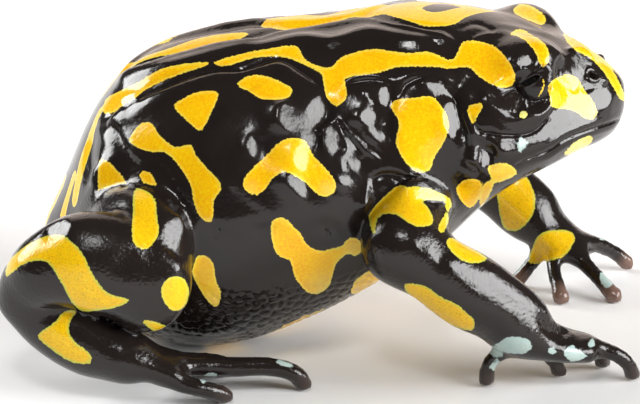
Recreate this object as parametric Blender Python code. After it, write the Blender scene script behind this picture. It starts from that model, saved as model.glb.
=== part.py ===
"""A life-size corroboree frog, standing on its arms with its hind legs folded.

The frame: +X runs from the vent to the snout, +Y to the frog's left, +Z up from the floor at zero.
All sizes here are millimetres and become metres at the end. Each part of the body is a closed
form lofted along a smooth line through a few named stations, and parted from its neighbour by a
thin gap. A station is a centre, a half width and a half height.
"""

import math

import bmesh
import bpy
import numpy as np
from mathutils import Vector

MM = 0.001

# Driving sizes
SNOUT_X = 14.38
VENT_X = -13.25
GAP = 0.3
NECK_X = 7.3
BODY_SIDES = 36
BODY_RINGS = 40
LIMB_SIDES = 16
DIGIT_SIDES = 8
CAP_RINGS = 3

# The trunk and head from the vent to the snout: x, height of the widest line, half width, top, belly
BODY_STATIONS = (
    (VENT_X, 4.7, 0.0, 4.7, 4.7),
    (-13.0, 4.75, 1.25, 5.9, 3.7),
    (-12.5, 4.9, 2.2, 7.0, 2.9),
    (-11.9, 5.3, 3.1, 8.4, 2.3),
    (-11.1, 5.9, 4.2, 10.3, 1.6),
    (-10.2, 6.4, 5.2, 11.9, 1.05),
    (-9.1, 6.8, 6.0, 13.2, 0.65),
    (-7.6, 7.2, 6.8, 14.2, 0.2),
    (-5.7, 7.6, 7.3, 14.85, -0.1),
    (-3.3, 8.0, 7.5, 15.3, 0.3),
    (-0.9, 8.4, 7.25, 15.5, 1.25),
    (1.5, 9.1, 6.8, 15.85, 2.45),
    (3.8, 9.9, 6.1, 16.25, 3.85),
    (6.0, 10.4, 5.4, 16.25, 5.3),
    (7.6, 10.8, 5.1, 16.05, 6.9),
    (9.2, 11.1, 4.9, 15.6, 8.2),
    (10.8, 11.3, 4.3, 15.0, 9.0),
    (12.1, 11.5, 3.35, 14.45, 9.6),
    (13.2, 11.7, 2.4, 13.8, 9.95),
    (13.9, 11.9, 1.55, 13.2, 10.4),
    (14.28, 12.0, 0.8, 12.7, 11.2),
    (SNOUT_X, 12.0, 0.0, 12.0, 12.0),
)

# Head
EYE_CENTRE = (9.7, 2.75, 13.6)
EYE_RADIUS = 1.15
LID_RADII = (1.7, 1.55, 1.6)
LID_CENTRE = (9.7, 2.65, 14.05)
SLIT_RADII = (0.7, 1.1, 0.2)
SLIT_RAISED = 0.42
SLIT_SLOPE = math.radians(24)
NOSTRIL = (12.75, 1.8, 13.6)
NOSTRIL_RADIUS = 0.26
NOSTRIL_DEPTH = 0.55
NOSTRIL_RIM = 0.42
MOUTH_LINE = ((15.5, 10.9), (13.9, 11.0), (12.4, 11.2), (11.2, 10.95), (9.8, 10.5), (9.1, 10.2), (8.9, 9.7),
              (8.85, 6.5))
MOUTH_GAP = 0.24
LIP_STEP = 0.975

# Limbs, given for the side that faces -Y: x, y, z, half width, half height
RIGHT_ARM = {
    "upper_arm": ((4.9, -3.0, 9.8, 1.8, 2.0), (4.4, -5.4, 8.9, 1.8, 1.95), (3.8, -7.3, 7.3, 1.75, 1.75)),
    "forearm": ((3.7, -7.4, 7.2, 1.65, 1.7), (5.2, -7.6, 6.2, 1.6, 1.65), (6.9, -7.5, 5.0, 1.7, 1.8),
                (8.4, -7.3, 4.0, 1.5, 1.6), (9.2, -7.2, 3.3, 1.35, 1.45)),
    "hand": ((9.0, -7.2, 3.3, 1.35, 1.3), (9.9, -7.0, 2.6, 1.45, 1.05), (11.3, -6.6, 2.0, 1.45, 0.75),
             (12.3, -6.4, 1.75, 1.2, 0.6)),
}
RIGHT_FINGERS = (
    ((9.3, -7.1, 2.2, 0.42), (8.35, -7.0, 1.7, 0.36), (7.85, -7.0, 1.15, 0.34), (7.75, -6.9, 0.35, 0.38)),
    ((10.6, -6.4, 1.8, 0.42), (10.65, -6.1, 1.25, 0.37), (11.05, -5.9, 0.75, 0.35), (11.2, -5.8, 0.35, 0.38)),
    ((12.0, -6.2, 1.75, 0.44), (12.65, -5.5, 1.3, 0.38), (13.15, -4.95, 0.8, 0.35), (13.3, -4.7, 0.35, 0.38)),
    ((12.4, -6.5, 1.8, 0.46), (12.95, -6.4, 1.7, 0.41), (13.8, -6.4, 1.4, 0.37), (14.4, -6.3, 0.85, 0.35),
     (14.6, -6.15, 0.35, 0.38)),
)
LEFT_ARM = {
    "upper_arm": ((4.9, 3.0, 9.6, 1.7, 1.9), (5.0, 5.5, 8.9, 1.7, 1.85), (5.5, 7.4, 7.4, 1.65, 1.7)),
    "forearm": ((5.5, 7.6, 7.3, 1.6, 1.65), (7.2, 7.7, 6.2, 1.6, 1.65), (8.9, 7.6, 4.75, 1.5, 1.6),
                (10.3, 7.3, 3.6, 1.3, 1.4)),
    "hand": ((10.1, 7.3, 3.65, 1.3, 1.3), (11.4, 6.9, 2.6, 1.5, 1.0), (12.7, 6.5, 1.85, 1.4, 0.65)),
}
LEFT_FINGERS = (
    ((11.1, 6.4, 1.95, 0.42), (10.5, 6.1, 1.25, 0.37), (10.1, 6.0, 0.75, 0.35), (9.8, 5.95, 0.35, 0.38)),
    ((11.6, 5.9, 1.9, 0.42), (11.5, 5.1, 1.35, 0.37), (11.65, 4.3, 0.8, 0.35), (11.8, 3.65, 0.35, 0.38)),
    ((12.6, 6.2, 1.85, 0.46), (13.0, 5.4, 1.5, 0.4), (13.7, 4.6, 0.95, 0.36), (14.4, 3.85, 0.36, 0.39)),
    ((12.9, 6.9, 1.9, 0.46), (13.7, 7.4, 1.7, 0.41), (14.75, 8.1, 0.95, 0.36), (15.35, 8.3, 0.36, 0.39)),
)
HIND_LEG = {
    "thigh": ((-8.8, -2.6, 6.6, 2.1, 2.3), (-8.5, -5.0, 6.9, 2.4, 2.65), (-8.0, -7.0, 6.9, 2.3, 2.75),
              (-7.7, -8.5, 5.9, 1.7, 2.2)),
    "shank": ((-7.8, -8.6, 5.5, 1.8, 2.1), (-9.2, -8.8, 6.6, 2.0, 2.4), (-10.8, -8.8, 6.9, 1.95, 2.35),
              (-12.3, -8.5, 6.4, 1.8, 1.85), (-13.1, -8.0, 5.5, 1.6, 1.6)),
    "tarsus": ((-13.5, -7.9, 4.85, 1.35, 1.35), (-12.3, -8.3, 3.8, 1.4, 1.5), (-10.5, -8.6, 2.75, 1.35, 1.5),
               (-8.9, -8.7, 2.25, 1.25, 1.15)),
    "foot": ((-9.0, -8.7, 2.25, 1.25, 1.1), (-7.9, -8.6, 1.95, 1.35, 0.85), (-6.9, -8.5, 1.65, 1.35, 0.62)),
}
TOES = (
    ((-8.2, -7.9, 1.6, 0.46), (-7.4, -6.6, 1.05, 0.4), (-7.0, -5.7, 0.65, 0.37), (-6.85, -5.25, 0.37, 0.4)),
    ((-7.5, -8.0, 1.6, 0.48), (-6.5, -6.6, 1.15, 0.42), (-5.9, -5.5, 0.75, 0.38), (-5.7, -5.05, 0.38, 0.41)),
    ((-7.0, -8.0, 1.6, 0.5), (-5.75, -6.9, 1.25, 0.44), (-4.65, -6.0, 0.8, 0.4), (-4.3, -5.6, 0.39, 0.42)),
    ((-7.0, -8.5, 1.65, 0.55), (-5.8, -8.25, 1.6, 0.5), (-3.95, -7.8, 1.35, 0.47), (-2.1, -7.6, 1.25, 0.44),
     (-1.1, -7.5, 0.85, 0.42), (-0.8, -7.4, 0.39, 0.42)),
    ((-7.3, -9.1, 1.5, 0.48), (-6.2, -9.45, 1.15, 0.43), (-5.1, -9.3, 0.8, 0.41), (-4.4, -8.95, 0.39, 0.42)),
)

# The unseen left leg is the right one drawn forward, more so from the knee on, its foot turned out
LEFT_HIP_SHIFT = 1.4
LEFT_KNEE_SHIFT = 2.9
LEFT_ANKLE_SHIFT = 3.1
LEFT_FOOT_TURN = math.radians(22)

# Colour and roughness in life: the skin is wet, and black under its yellow marks
BLACK_SKIN = ((0.012, 0.010, 0.010, 1.0), 0.2)
DIGIT_SKIN = ((0.09, 0.045, 0.035, 1.0), 0.25)
EYE = ((0.006, 0.005, 0.005, 1.0), 0.05)


def finish_of(name, finish):
    """The material of one part of the body."""
    colour, roughness = finish
    material = bpy.data.materials.new(name)
    material.use_nodes = True
    shader = material.node_tree.nodes["Principled BSDF"]
    shader.inputs["Base Color"].default_value = colour
    shader.inputs["Roughness"].default_value = roughness
    shader.inputs["Metallic"].default_value = 0.0
    return material


def through(stations, count):
    """Rows at even steps on a smooth curve (Catmull-Rom by chord length) through the stations' rows."""
    rows = np.array(stations, float)
    steps = np.linalg.norm(np.diff(rows[:, :3], axis=0), axis=1) ** 0.5
    at = np.concatenate([[0], np.cumsum(steps)])
    slope = np.gradient(rows, at, axis=0)
    wanted = np.linspace(0, at[-1], count)
    leg = np.clip(np.searchsorted(at, wanted, side="right") - 1, 0, len(at) - 2)
    span = (at[leg + 1] - at[leg])[:, None]
    t = (wanted - at[leg])[:, None] / span
    return (
        (2 * t**3 - 3 * t**2 + 1) * rows[leg]
        + (t**3 - 2 * t**2 + t) * span * slope[leg]
        + (3 * t**2 - 2 * t**3) * rows[leg + 1]
        + (t**3 - t**2) * span * slope[leg + 1]
    )


def new_object(name, mesh, finish=None):
    thing = bpy.data.objects.new(name, mesh)
    bpy.context.scene.collection.objects.link(thing)
    if finish:
        mesh.materials.append(finish_of(name, finish))
    return thing


def lofted(name, rings, finish=None):
    """A closed mesh over rings of equal length, each end closed by a fan to its middle."""
    count, sides, _ = rings.shape
    points = rings.reshape(-1, 3)
    ends = [rings[0].mean(axis=0), rings[-1].mean(axis=0)]
    faces = []
    for i in range(count - 1):
        for j in range(sides):
            k = (j + 1) % sides
            faces.append((i * sides + j, i * sides + k, (i + 1) * sides + k, (i + 1) * sides + j))
    first, last = count * sides, count * sides + 1
    for j in range(sides):
        k = (j + 1) % sides
        faces.append((k, j, first))
        faces.append(((count - 1) * sides + j, (count - 1) * sides + k, last))
    mesh = bpy.data.meshes.new(name)
    mesh.from_pydata([*map(tuple, points), *map(tuple, ends)], [], faces)
    bm = bmesh.new()
    bm.from_mesh(mesh)
    bmesh.ops.remove_doubles(bm, verts=bm.verts, dist=1e-4)
    bmesh.ops.recalc_face_normals(bm, faces=bm.faces)
    bm.to_mesh(mesh)
    bm.free()
    return new_object(name, mesh, finish)


def body_rings(low_x, high_x, rings, grow=0.0):
    """Cross sections of the body between two places: round, a little squared, wider low on the head."""
    rows = through(BODY_STATIONS, 240)
    inside = rows[(rows[:, 0] > low_x) & (rows[:, 0] < high_x)]
    ends = [
        [np.interp(x, rows[:, 0], rows[:, c]) for c in range(5)]
        for x in (max(low_x, VENT_X), min(high_x, SNOUT_X))
    ]
    rows = np.array([ends[0], *inside, ends[1]])
    girth = np.concatenate([[0], np.cumsum(np.hypot(np.diff(rows[:, 0]), np.diff(rows[:, 3])))])
    picked = np.linspace(0, girth[-1], rings)
    rows = np.stack([np.interp(picked, girth, rows[:, c]) for c in range(5)], axis=1)
    angle = np.linspace(0, 2 * np.pi, BODY_SIDES, endpoint=False)
    x, widest, half_width, top, belly = (rows[:, c, None] for c in range(5))
    sine, cosine = np.sin(angle), np.cos(angle)
    squared = 0.94
    across = (half_width + grow) * np.sign(sine) * np.abs(sine) ** squared
    height = np.where(cosine > 0, top + grow - widest, widest - belly + grow)
    up = widest + height * np.sign(cosine) * np.abs(cosine) ** squared
    return np.stack([np.broadcast_to(x, across.shape), across, up], axis=2)


def limb_rings(stations, count, sides, grow=0.0):
    """Elliptical rings along a curve, carried without twist, with a round cap at each end."""
    rows = np.array(stations, float)
    if rows.shape[1] == 4:
        rows = np.column_stack([rows, rows[:, 3]])
    rows = through(rows, count)
    centre, wide, high = rows[:, :3], rows[:, 3] + grow, rows[:, 4] + grow
    along = np.gradient(centre, axis=0)
    along /= np.linalg.norm(along, axis=1)[:, None]
    side = np.cross((0.0, 0.0, 1.0), along[0])
    if np.linalg.norm(side) < 0.2:
        side = np.array((0.0, 1.0, 0.0))
    sides_at = []
    for direction in along:
        side = side - (side @ direction) * direction
        side = side / np.linalg.norm(side)
        sides_at.append(side)
    across = np.array(sides_at)
    up = np.cross(along, across)
    turn = np.linspace(0, 2 * np.pi, sides, endpoint=False)
    rings = []

    def ring(i, scale, push):
        middle = centre[i] + along[i] * push
        return (
            middle
            + np.cos(turn)[:, None] * across[i] * wide[i] * scale
            + np.sin(turn)[:, None] * up[i] * high[i] * scale
        )

    for k in range(CAP_RINGS):
        lean = math.pi / 2 * (1 - (k + 0.35) / (CAP_RINGS + 0.35))
        rings.append(ring(0, math.cos(lean), -math.sin(lean) * min(wide[0], high[0])))
    rings += [ring(i, 1.0, 0.0) for i in range(count)]
    for k in reversed(range(CAP_RINGS)):
        lean = math.pi / 2 * (1 - (k + 0.35) / (CAP_RINGS + 0.35))
        rings.append(ring(count - 1, math.cos(lean), math.sin(lean) * min(wide[-1], high[-1])))
    return np.array(rings)


def ball(name, centre, radii, detail=3):
    mesh = bpy.data.meshes.new(name)
    bm = bmesh.new()
    bmesh.ops.create_icosphere(bm, subdivisions=detail, radius=1.0)
    for vertex in bm.verts:
        vertex.co = Vector(c + v * r for c, v, r in zip(centre, vertex.co, radii))
    bm.to_mesh(mesh)
    bm.free()
    return new_object(name, mesh)


def largest_shell(mesh):
    """Keeps the largest closed surface of a mesh and drops any loose scrap or sealed hollow."""
    bm = bmesh.new()
    bm.from_mesh(mesh)
    left = set(bm.verts)
    shells = []
    while left:
        stack = [left.pop()]
        shell = list(stack)
        while stack:
            for edge in stack.pop().link_edges:
                for vertex in edge.verts:
                    if vertex in left:
                        left.remove(vertex)
                        stack.append(vertex)
                        shell.append(vertex)
        shells.append(shell)
    shells.sort(key=len)
    for shell in shells[:-1]:
        bmesh.ops.delete(bm, geom=shell, context="VERTS")
    bm.to_mesh(mesh)
    bm.free()


def combine(thing, other, operation, keep=False):
    """Applies one Boolean of another object to this one, and removes the other unless it is kept."""
    step = thing.modifiers.new(operation, "BOOLEAN")
    step.operation = operation
    step.object = other
    step.solver = "EXACT"
    graph = bpy.context.evaluated_depsgraph_get()
    result = bpy.data.meshes.new_from_object(thing.evaluated_get(graph))
    thing.modifiers.clear()
    old = thing.data
    thing.data = result
    bpy.data.meshes.remove(old)
    largest_shell(result)
    if not keep:
        bpy.data.objects.remove(other)
    return thing


def keep_side(thing, point, normal):
    """Keeps what lies on the far side of a plane from its normal, and closes the cut."""
    bm = bmesh.new()
    bm.from_mesh(thing.data)
    geometry = [*bm.verts, *bm.edges, *bm.faces]
    cut = bmesh.ops.bisect_plane(
        bm, geom=geometry, dist=1e-5, plane_co=point, plane_no=normal, clear_outer=True
    )
    edges = [g for g in cut["geom_cut"] if isinstance(g, bmesh.types.BMEdge)]
    if edges:
        bmesh.ops.holes_fill(bm, edges=edges, sides=0)
        bmesh.ops.recalc_face_normals(bm, faces=bm.faces)
    bm.to_mesh(thing.data)
    bm.free()
    largest_shell(thing.data)


def part_at(first, second, point, normal):
    """Parts two forms at a plane with the gap between them: the normal points from first to second."""
    normal = Vector(normal).normalized()
    half = normal * GAP / 2
    keep_side(first, Vector(point) - half, normal)
    keep_side(second, Vector(point) + half, -normal)


def rest_flat(thing):
    """A small flat at the floor."""
    keep_side(thing, (0, 0, 0), (0, 0, -1))


def prism(name, outline, half_width):
    """A side view outline (x, z) drawn across the head."""
    mesh = bpy.data.meshes.new(name)
    bm = bmesh.new()
    lower = [bm.verts.new((x, -half_width, z)) for x, z in outline]
    face = bm.faces.new(lower)
    made = bmesh.ops.extrude_face_region(bm, geom=[face])
    moved = [g for g in made["geom"] if isinstance(g, bmesh.types.BMVert)]
    bmesh.ops.translate(bm, verts=moved, vec=(0, 2 * half_width, 0))
    bmesh.ops.recalc_face_normals(bm, faces=bm.faces)
    bm.to_mesh(mesh)
    bm.free()
    return new_object(name, mesh)


def jaw_outline(offset):
    """The region under the mouth line, grown or shrunk by an offset."""
    line = np.array(MOUTH_LINE)
    along = np.gradient(line, axis=0)
    along /= np.linalg.norm(along, axis=1)[:, None]
    out = np.stack([along[:, 1], -along[:, 0]], axis=1)
    line = line + out * offset
    return [*map(tuple, line), (15.5, 6.5)]


def make_head():
    """The head with its eye bulges, lids, nostrils and mouth, and the lower jaw as its own node."""
    head = lofted("head", body_rings(NECK_X + GAP / 2, SNOUT_X, BODY_RINGS // 2), BLACK_SKIN)
    for side in (-1, 1):
        place = (LID_CENTRE[0], side * LID_CENTRE[1], LID_CENTRE[2])
        combine(head, ball("lid", place, LID_RADII), "UNION")
        rim = (NOSTRIL[0], side * (NOSTRIL[1] - 0.12), NOSTRIL[2] - 0.1)
        combine(head, ball("rim", rim, (NOSTRIL_RIM,) * 3, 2), "UNION")
    jaw = head.copy()
    jaw.data = head.data.copy()
    jaw.name = "lower_jaw"
    jaw.data.materials[0] = finish_of("lower_jaw", BLACK_SKIN)
    bpy.context.scene.collection.objects.link(jaw)
    combine(head, prism("mouth", jaw_outline(MOUTH_GAP / 2), 8.0), "DIFFERENCE")
    combine(jaw, prism("chin", jaw_outline(-MOUTH_GAP / 2), 8.0), "INTERSECT")
    for vertex in jaw.data.vertices:
        vertex.co.y *= LIP_STEP
    for side in (-1, 1):
        centre = (EYE_CENTRE[0], side * EYE_CENTRE[1], EYE_CENTRE[2])
        slit = ball("slit", (0, 0, 0), SLIT_RADII)
        turn = math.cos(SLIT_SLOPE), math.sin(SLIT_SLOPE)
        for vertex in slit.data.vertices:
            x, y, z = vertex.co
            vertex.co = (
                centre[0] + x * turn[0] - z * turn[1],
                centre[1] + side * EYE_RADIUS + y,
                centre[2] + x * turn[1] + z * turn[0] + SLIT_RAISED,
            )
        socket = combine(ball("socket", centre, (EYE_RADIUS + GAP,) * 3), slit, "UNION")
        combine(head, socket, "DIFFERENCE")
        hole = (NOSTRIL[0], side * (NOSTRIL[1] + 0.1), NOSTRIL[2])
        combine(head, ball("hole", hole, (NOSTRIL_RADIUS, NOSTRIL_DEPTH, NOSTRIL_RADIUS), 2), "DIFFERENCE")


def make_eye(name, side):
    centre = (EYE_CENTRE[0], side * EYE_CENTRE[1], EYE_CENTRE[2])
    eye = ball(name, centre, (EYE_RADIUS,) * 3)
    eye.data.materials.append(finish_of(name, EYE))


def make_arm(side, stations, fingers, around):
    """Upper arm, forearm and hand, parted at the elbow and wrist, and four fingers off the hand."""
    upper = lofted(f"upper_arm_{side}", limb_rings(stations["upper_arm"], 9, LIMB_SIDES), BLACK_SKIN)
    fore = lofted(f"forearm_{side}", limb_rings(stations["forearm"], 12, LIMB_SIDES), BLACK_SKIN)
    hand = lofted(f"hand_{side}", limb_rings(stations["hand"], 8, LIMB_SIDES), BLACK_SKIN)
    combine(upper, around, "DIFFERENCE", keep=True)
    combine(fore, around, "DIFFERENCE", keep=True)
    elbow = Vector(stations["forearm"][0][:3])
    back = (Vector(stations["upper_arm"][1][:3]) - elbow).normalized()
    ahead = (Vector(stations["forearm"][1][:3]) - elbow).normalized()
    part_at(upper, fore, elbow, ahead - back)
    wrist = (Vector(stations["forearm"][-1][:3]) + Vector(stations["hand"][0][:3])) / 2
    part_at(fore, hand, wrist, Vector(stations["hand"][1][:3]) - Vector(stations["forearm"][-2][:3]))
    make_digits(f"finger_{side}", fingers, stations["hand"])


def make_digits(stem, digits, palm_stations):
    """Digits that start inside the palm, cut back to the gap from it and from the digit before."""
    around = lofted("around_palm", limb_rings(palm_stations, 10, LIMB_SIDES, GAP))
    beside = None
    for number, stations in enumerate(digits, 1):
        rings = 5 + 2 * (len(stations) - 2)
        digit = lofted(f"{stem}_{number}", limb_rings(stations, rings, DIGIT_SIDES), DIGIT_SKIN)
        combine(digit, around, "DIFFERENCE", keep=True)
        if beside:
            combine(digit, beside, "DIFFERENCE")
        rest_flat(digit)
        beside = lofted("beside", limb_rings(stations, rings, DIGIT_SIDES, GAP))
    bpy.data.objects.remove(beside)
    bpy.data.objects.remove(around)


def placed(rows, shifts, flip):
    """A leg's stations on the wanted side, each moved along X by its share of the shift."""
    return [(row[0] + shift, row[1] * flip, *row[2:]) for row, shift in zip(rows, shifts)]


def turned(rows, pivot, angle):
    """Stations turned about an upright line through the pivot."""
    sine, cosine = math.sin(angle), math.cos(angle)
    made = []
    for row in rows:
        x, y = row[0] - pivot[0], row[1] - pivot[1]
        made.append((pivot[0] + x * cosine - y * sine, pivot[1] + x * sine + y * cosine, *row[2:]))
    return made


def make_leg(side, around):
    """Thigh, shank, tarsus and foot, folded on one another and parted at each bend, with five toes."""
    flip, hip, knee, ankle, turn = 1, 0, 0, 0, 0
    if side == "left":
        flip, hip, knee, ankle = -1, LEFT_HIP_SHIFT, LEFT_KNEE_SHIFT, LEFT_ANKLE_SHIFT
        turn = LEFT_FOOT_TURN
    thigh_rows = placed(HIND_LEG["thigh"], np.linspace(hip, knee, len(HIND_LEG["thigh"])), flip)
    shank_rows = placed(HIND_LEG["shank"], np.linspace(knee, ankle, len(HIND_LEG["shank"])), flip)
    tarsus_rows = placed(HIND_LEG["tarsus"], [ankle] * len(HIND_LEG["tarsus"]), flip)
    pivot = tarsus_rows[-1]
    foot_rows = turned(placed(HIND_LEG["foot"], [ankle] * len(HIND_LEG["foot"]), flip), pivot, turn)
    toes = [turned(placed(rows, [ankle] * len(rows), flip), pivot, turn) for rows in TOES]
    thigh = lofted(f"thigh_{side}", limb_rings(thigh_rows, 12, LIMB_SIDES), BLACK_SKIN)
    shank = lofted(f"shank_{side}", limb_rings(shank_rows, 12, LIMB_SIDES), BLACK_SKIN)
    tarsus = lofted(f"tarsus_{side}", limb_rings(tarsus_rows, 12, LIMB_SIDES), BLACK_SKIN)
    foot = lofted(f"foot_{side}", limb_rings(foot_rows, 7, LIMB_SIDES), BLACK_SKIN)
    for piece in (thigh, shank, tarsus):
        combine(piece, around, "DIFFERENCE", keep=True)
    bend = Vector(shank_rows[0][:3])
    back = (Vector(thigh_rows[1][:3]) - bend).normalized()
    ahead = (Vector(shank_rows[2][:3]) - bend).normalized()
    part_at(thigh, shank, bend, ahead - back)
    heel = (Vector(shank_rows[-1][:3]) + Vector(tarsus_rows[0][:3])) / 2
    up = (Vector(shank_rows[1][:3]) - heel).normalized()
    down = (Vector(tarsus_rows[3][:3]) - heel).normalized()
    normal = (down - up).normalized()
    part_at(shank, tarsus, heel, normal)
    keep_side(thigh, heel - normal * GAP / 2, normal)
    ball_of_foot = Vector(pivot[:3])
    part_at(tarsus, foot, ball_of_foot, Vector(foot_rows[-1][:3]) - Vector(tarsus_rows[-2][:3]))
    keep_side(foot, heel + normal * GAP / 2, -normal)
    make_digits(f"toe_{side}", toes, foot_rows)


def to_metres():
    for thing in bpy.data.objects:
        for vertex in thing.data.vertices:
            vertex.co *= MM
        thing.data.shade_smooth()
        thing.data.set_sharp_from_angle(angle=math.radians(50))


def main():
    for thing in list(bpy.data.objects):
        bpy.data.objects.remove(thing)
    torso = lofted("torso", body_rings(VENT_X, NECK_X - GAP / 2, BODY_RINGS), BLACK_SKIN)
    rest_flat(torso)
    around = lofted("around", body_rings(VENT_X, NECK_X + 4, BODY_RINGS, GAP))
    make_head()
    make_eye("eye_right", -1)
    make_eye("eye_left", 1)
    make_arm("right", RIGHT_ARM, RIGHT_FINGERS, around)
    make_arm("left", LEFT_ARM, LEFT_FINGERS, around)
    make_leg("right", around)
    make_leg("left", around)
    bpy.data.objects.remove(around)
    to_metres()


main()
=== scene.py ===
import math

import bmesh
import bpy
import numpy as np
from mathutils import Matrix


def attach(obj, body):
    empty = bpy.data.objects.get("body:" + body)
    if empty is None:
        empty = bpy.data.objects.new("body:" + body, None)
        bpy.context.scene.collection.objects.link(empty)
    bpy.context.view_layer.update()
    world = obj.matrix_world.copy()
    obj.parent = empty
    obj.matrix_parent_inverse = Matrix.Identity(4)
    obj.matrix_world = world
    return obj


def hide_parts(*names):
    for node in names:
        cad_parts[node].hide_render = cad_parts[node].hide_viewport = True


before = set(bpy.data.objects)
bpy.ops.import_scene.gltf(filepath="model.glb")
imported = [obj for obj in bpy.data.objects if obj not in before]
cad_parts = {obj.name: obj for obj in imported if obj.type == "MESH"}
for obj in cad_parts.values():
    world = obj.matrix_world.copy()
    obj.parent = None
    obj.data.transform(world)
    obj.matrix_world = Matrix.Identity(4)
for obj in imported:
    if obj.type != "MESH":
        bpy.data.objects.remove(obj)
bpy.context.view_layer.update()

import openvdb as vdb
from mathutils import Vector

mm = 0.001  # shapes are worked out in millimetres and put into meshes in metres

# The photograph's view: a long lens 0.2 m away, 20 degrees above the floor, 21 pixels to the millimetre.
view = {"distance": 200.0, "elevation": 20.0, "aim": (0.0, 0.0, 6.64), "pixelsPerMm": 21.0,
        "width": 640, "height": 404}

elevation = math.radians(view["elevation"])
viewBack = np.array((0.0, -math.cos(elevation), math.sin(elevation)))
viewUp = np.array((0.0, math.sin(elevation), math.cos(elevation)))
viewPoint = np.array(view["aim"]) + viewBack * view["distance"]


def toPicture(points):
    # A point's pixel: its offset from the view point, over its depth, along the picture's two axes.
    offset = points - viewPoint
    depth = -(offset @ viewBack)
    focal = view["pixelsPerMm"] * view["distance"]
    return np.stack([view["width"] / 2 + focal * offset[:, 0] / depth,
                     view["height"] / 2 - focal * (offset @ viewUp) / depth], axis=1)


def throughStations(stations, count):
    # A Hermite curve through the stations, its slopes by central differences over root chord lengths.
    rows = np.array(stations, float)
    if rows.shape[1] == 4:
        rows = np.column_stack([rows, rows[:, 3]])
    steps = np.linalg.norm(np.diff(rows[:, :3], axis=0), axis=1) ** 0.5
    at = np.concatenate([[0], np.cumsum(steps)])
    slope = np.gradient(rows, at, axis=0)
    wanted = np.linspace(0, at[-1], count)
    leg = np.clip(np.searchsorted(at, wanted, side="right") - 1, 0, len(at) - 2)
    span = (at[leg + 1] - at[leg])[:, None]
    t = (wanted - at[leg])[:, None] / span
    return ((2 * t**3 - 3 * t**2 + 1) * rows[leg] + (t**3 - 2 * t**2 + t) * span * slope[leg]
            + (3 * t**2 - 2 * t**3) * rows[leg + 1] + (t**3 - t**2) * span * slope[leg + 1])


# Trunk and head from vent to snout: x, height of the widest line, half width, top, belly
bodyForm = {
    "sides": 160, "rings": 220, "rows": 240, "squared": 0.94,
    "stations": (
        (-13.25, 4.7, 0.0, 4.7, 4.7), (-13.0, 4.75, 1.25, 5.9, 3.7), (-12.5, 4.9, 2.2, 7.0, 2.9),
        (-11.9, 5.3, 3.1, 8.4, 2.3), (-11.1, 5.9, 4.2, 10.3, 1.6), (-10.2, 6.4, 5.2, 11.9, 1.05),
        (-9.1, 6.8, 6.0, 13.2, 0.65), (-7.6, 7.2, 6.8, 14.2, 0.2), (-5.7, 7.6, 7.3, 14.85, -0.1),
        (-3.3, 8.0, 7.5, 15.3, 0.3), (-0.9, 8.4, 7.25, 15.5, 1.25), (1.5, 9.1, 6.8, 15.85, 2.45),
        (3.8, 9.9, 6.1, 16.25, 3.85), (6.0, 10.4, 5.4, 16.25, 5.3), (7.6, 10.8, 5.1, 16.05, 6.9),
        (9.2, 11.1, 4.9, 15.6, 8.2), (10.8, 11.3, 4.3, 15.0, 9.0), (12.1, 11.5, 3.35, 14.45, 9.6),
        (13.2, 11.7, 2.4, 13.8, 9.95), (13.9, 11.9, 1.55, 13.2, 10.4), (14.28, 12.0, 0.8, 12.7, 11.2),
        (14.38, 12.0, 0.0, 12.0, 12.0)),
}

# Limbs: x, y, z, half width, half height. A digit has one radius.
limbForm = {"sides": 48, "rings": 48, "toeRings": 64, "capRings": 8, "capEnd": 0.02}

rightArm = {
    "upperArm": ((4.9, -3.0, 9.0, 1.7, 1.7), (4.4, -5.4, 8.35, 1.75, 1.65), (3.8, -7.3, 7.2, 1.75, 1.72)),
    "forearm": ((3.7, -7.4, 7.2, 1.65, 1.7), (5.2, -7.6, 6.2, 1.6, 1.65), (6.9, -7.5, 5.0, 1.7, 1.8),
                (8.4, -7.3, 4.0, 1.5, 1.6), (9.2, -7.2, 3.3, 1.35, 1.45)),
    "hand": ((9.0, -7.2, 3.3, 1.35, 1.3), (9.9, -7.0, 2.6, 1.45, 1.05), (11.3, -6.6, 2.0, 1.45, 0.75),
             (12.3, -6.4, 1.75, 1.2, 0.6)),
    "fingers": (
        ((9.3, -7.1, 2.2, 0.42), (8.35, -7.0, 1.7, 0.36), (7.85, -7.0, 1.15, 0.34), (7.75, -6.9, 0.35, 0.38)),
        ((10.6, -6.4, 1.8, 0.42), (10.65, -6.1, 1.25, 0.37), (11.05, -5.9, 0.75, 0.35),
         (11.2, -5.8, 0.35, 0.38)),
        ((12.0, -6.2, 1.75, 0.44), (12.65, -5.5, 1.3, 0.38), (13.15, -4.95, 0.8, 0.35),
         (13.3, -4.7, 0.35, 0.38)),
        ((12.4, -6.5, 1.8, 0.46), (12.95, -6.4, 1.7, 0.41), (13.8, -6.4, 1.4, 0.37), (14.4, -6.3, 0.85, 0.35),
         (14.6, -6.15, 0.35, 0.38))),
}
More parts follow.
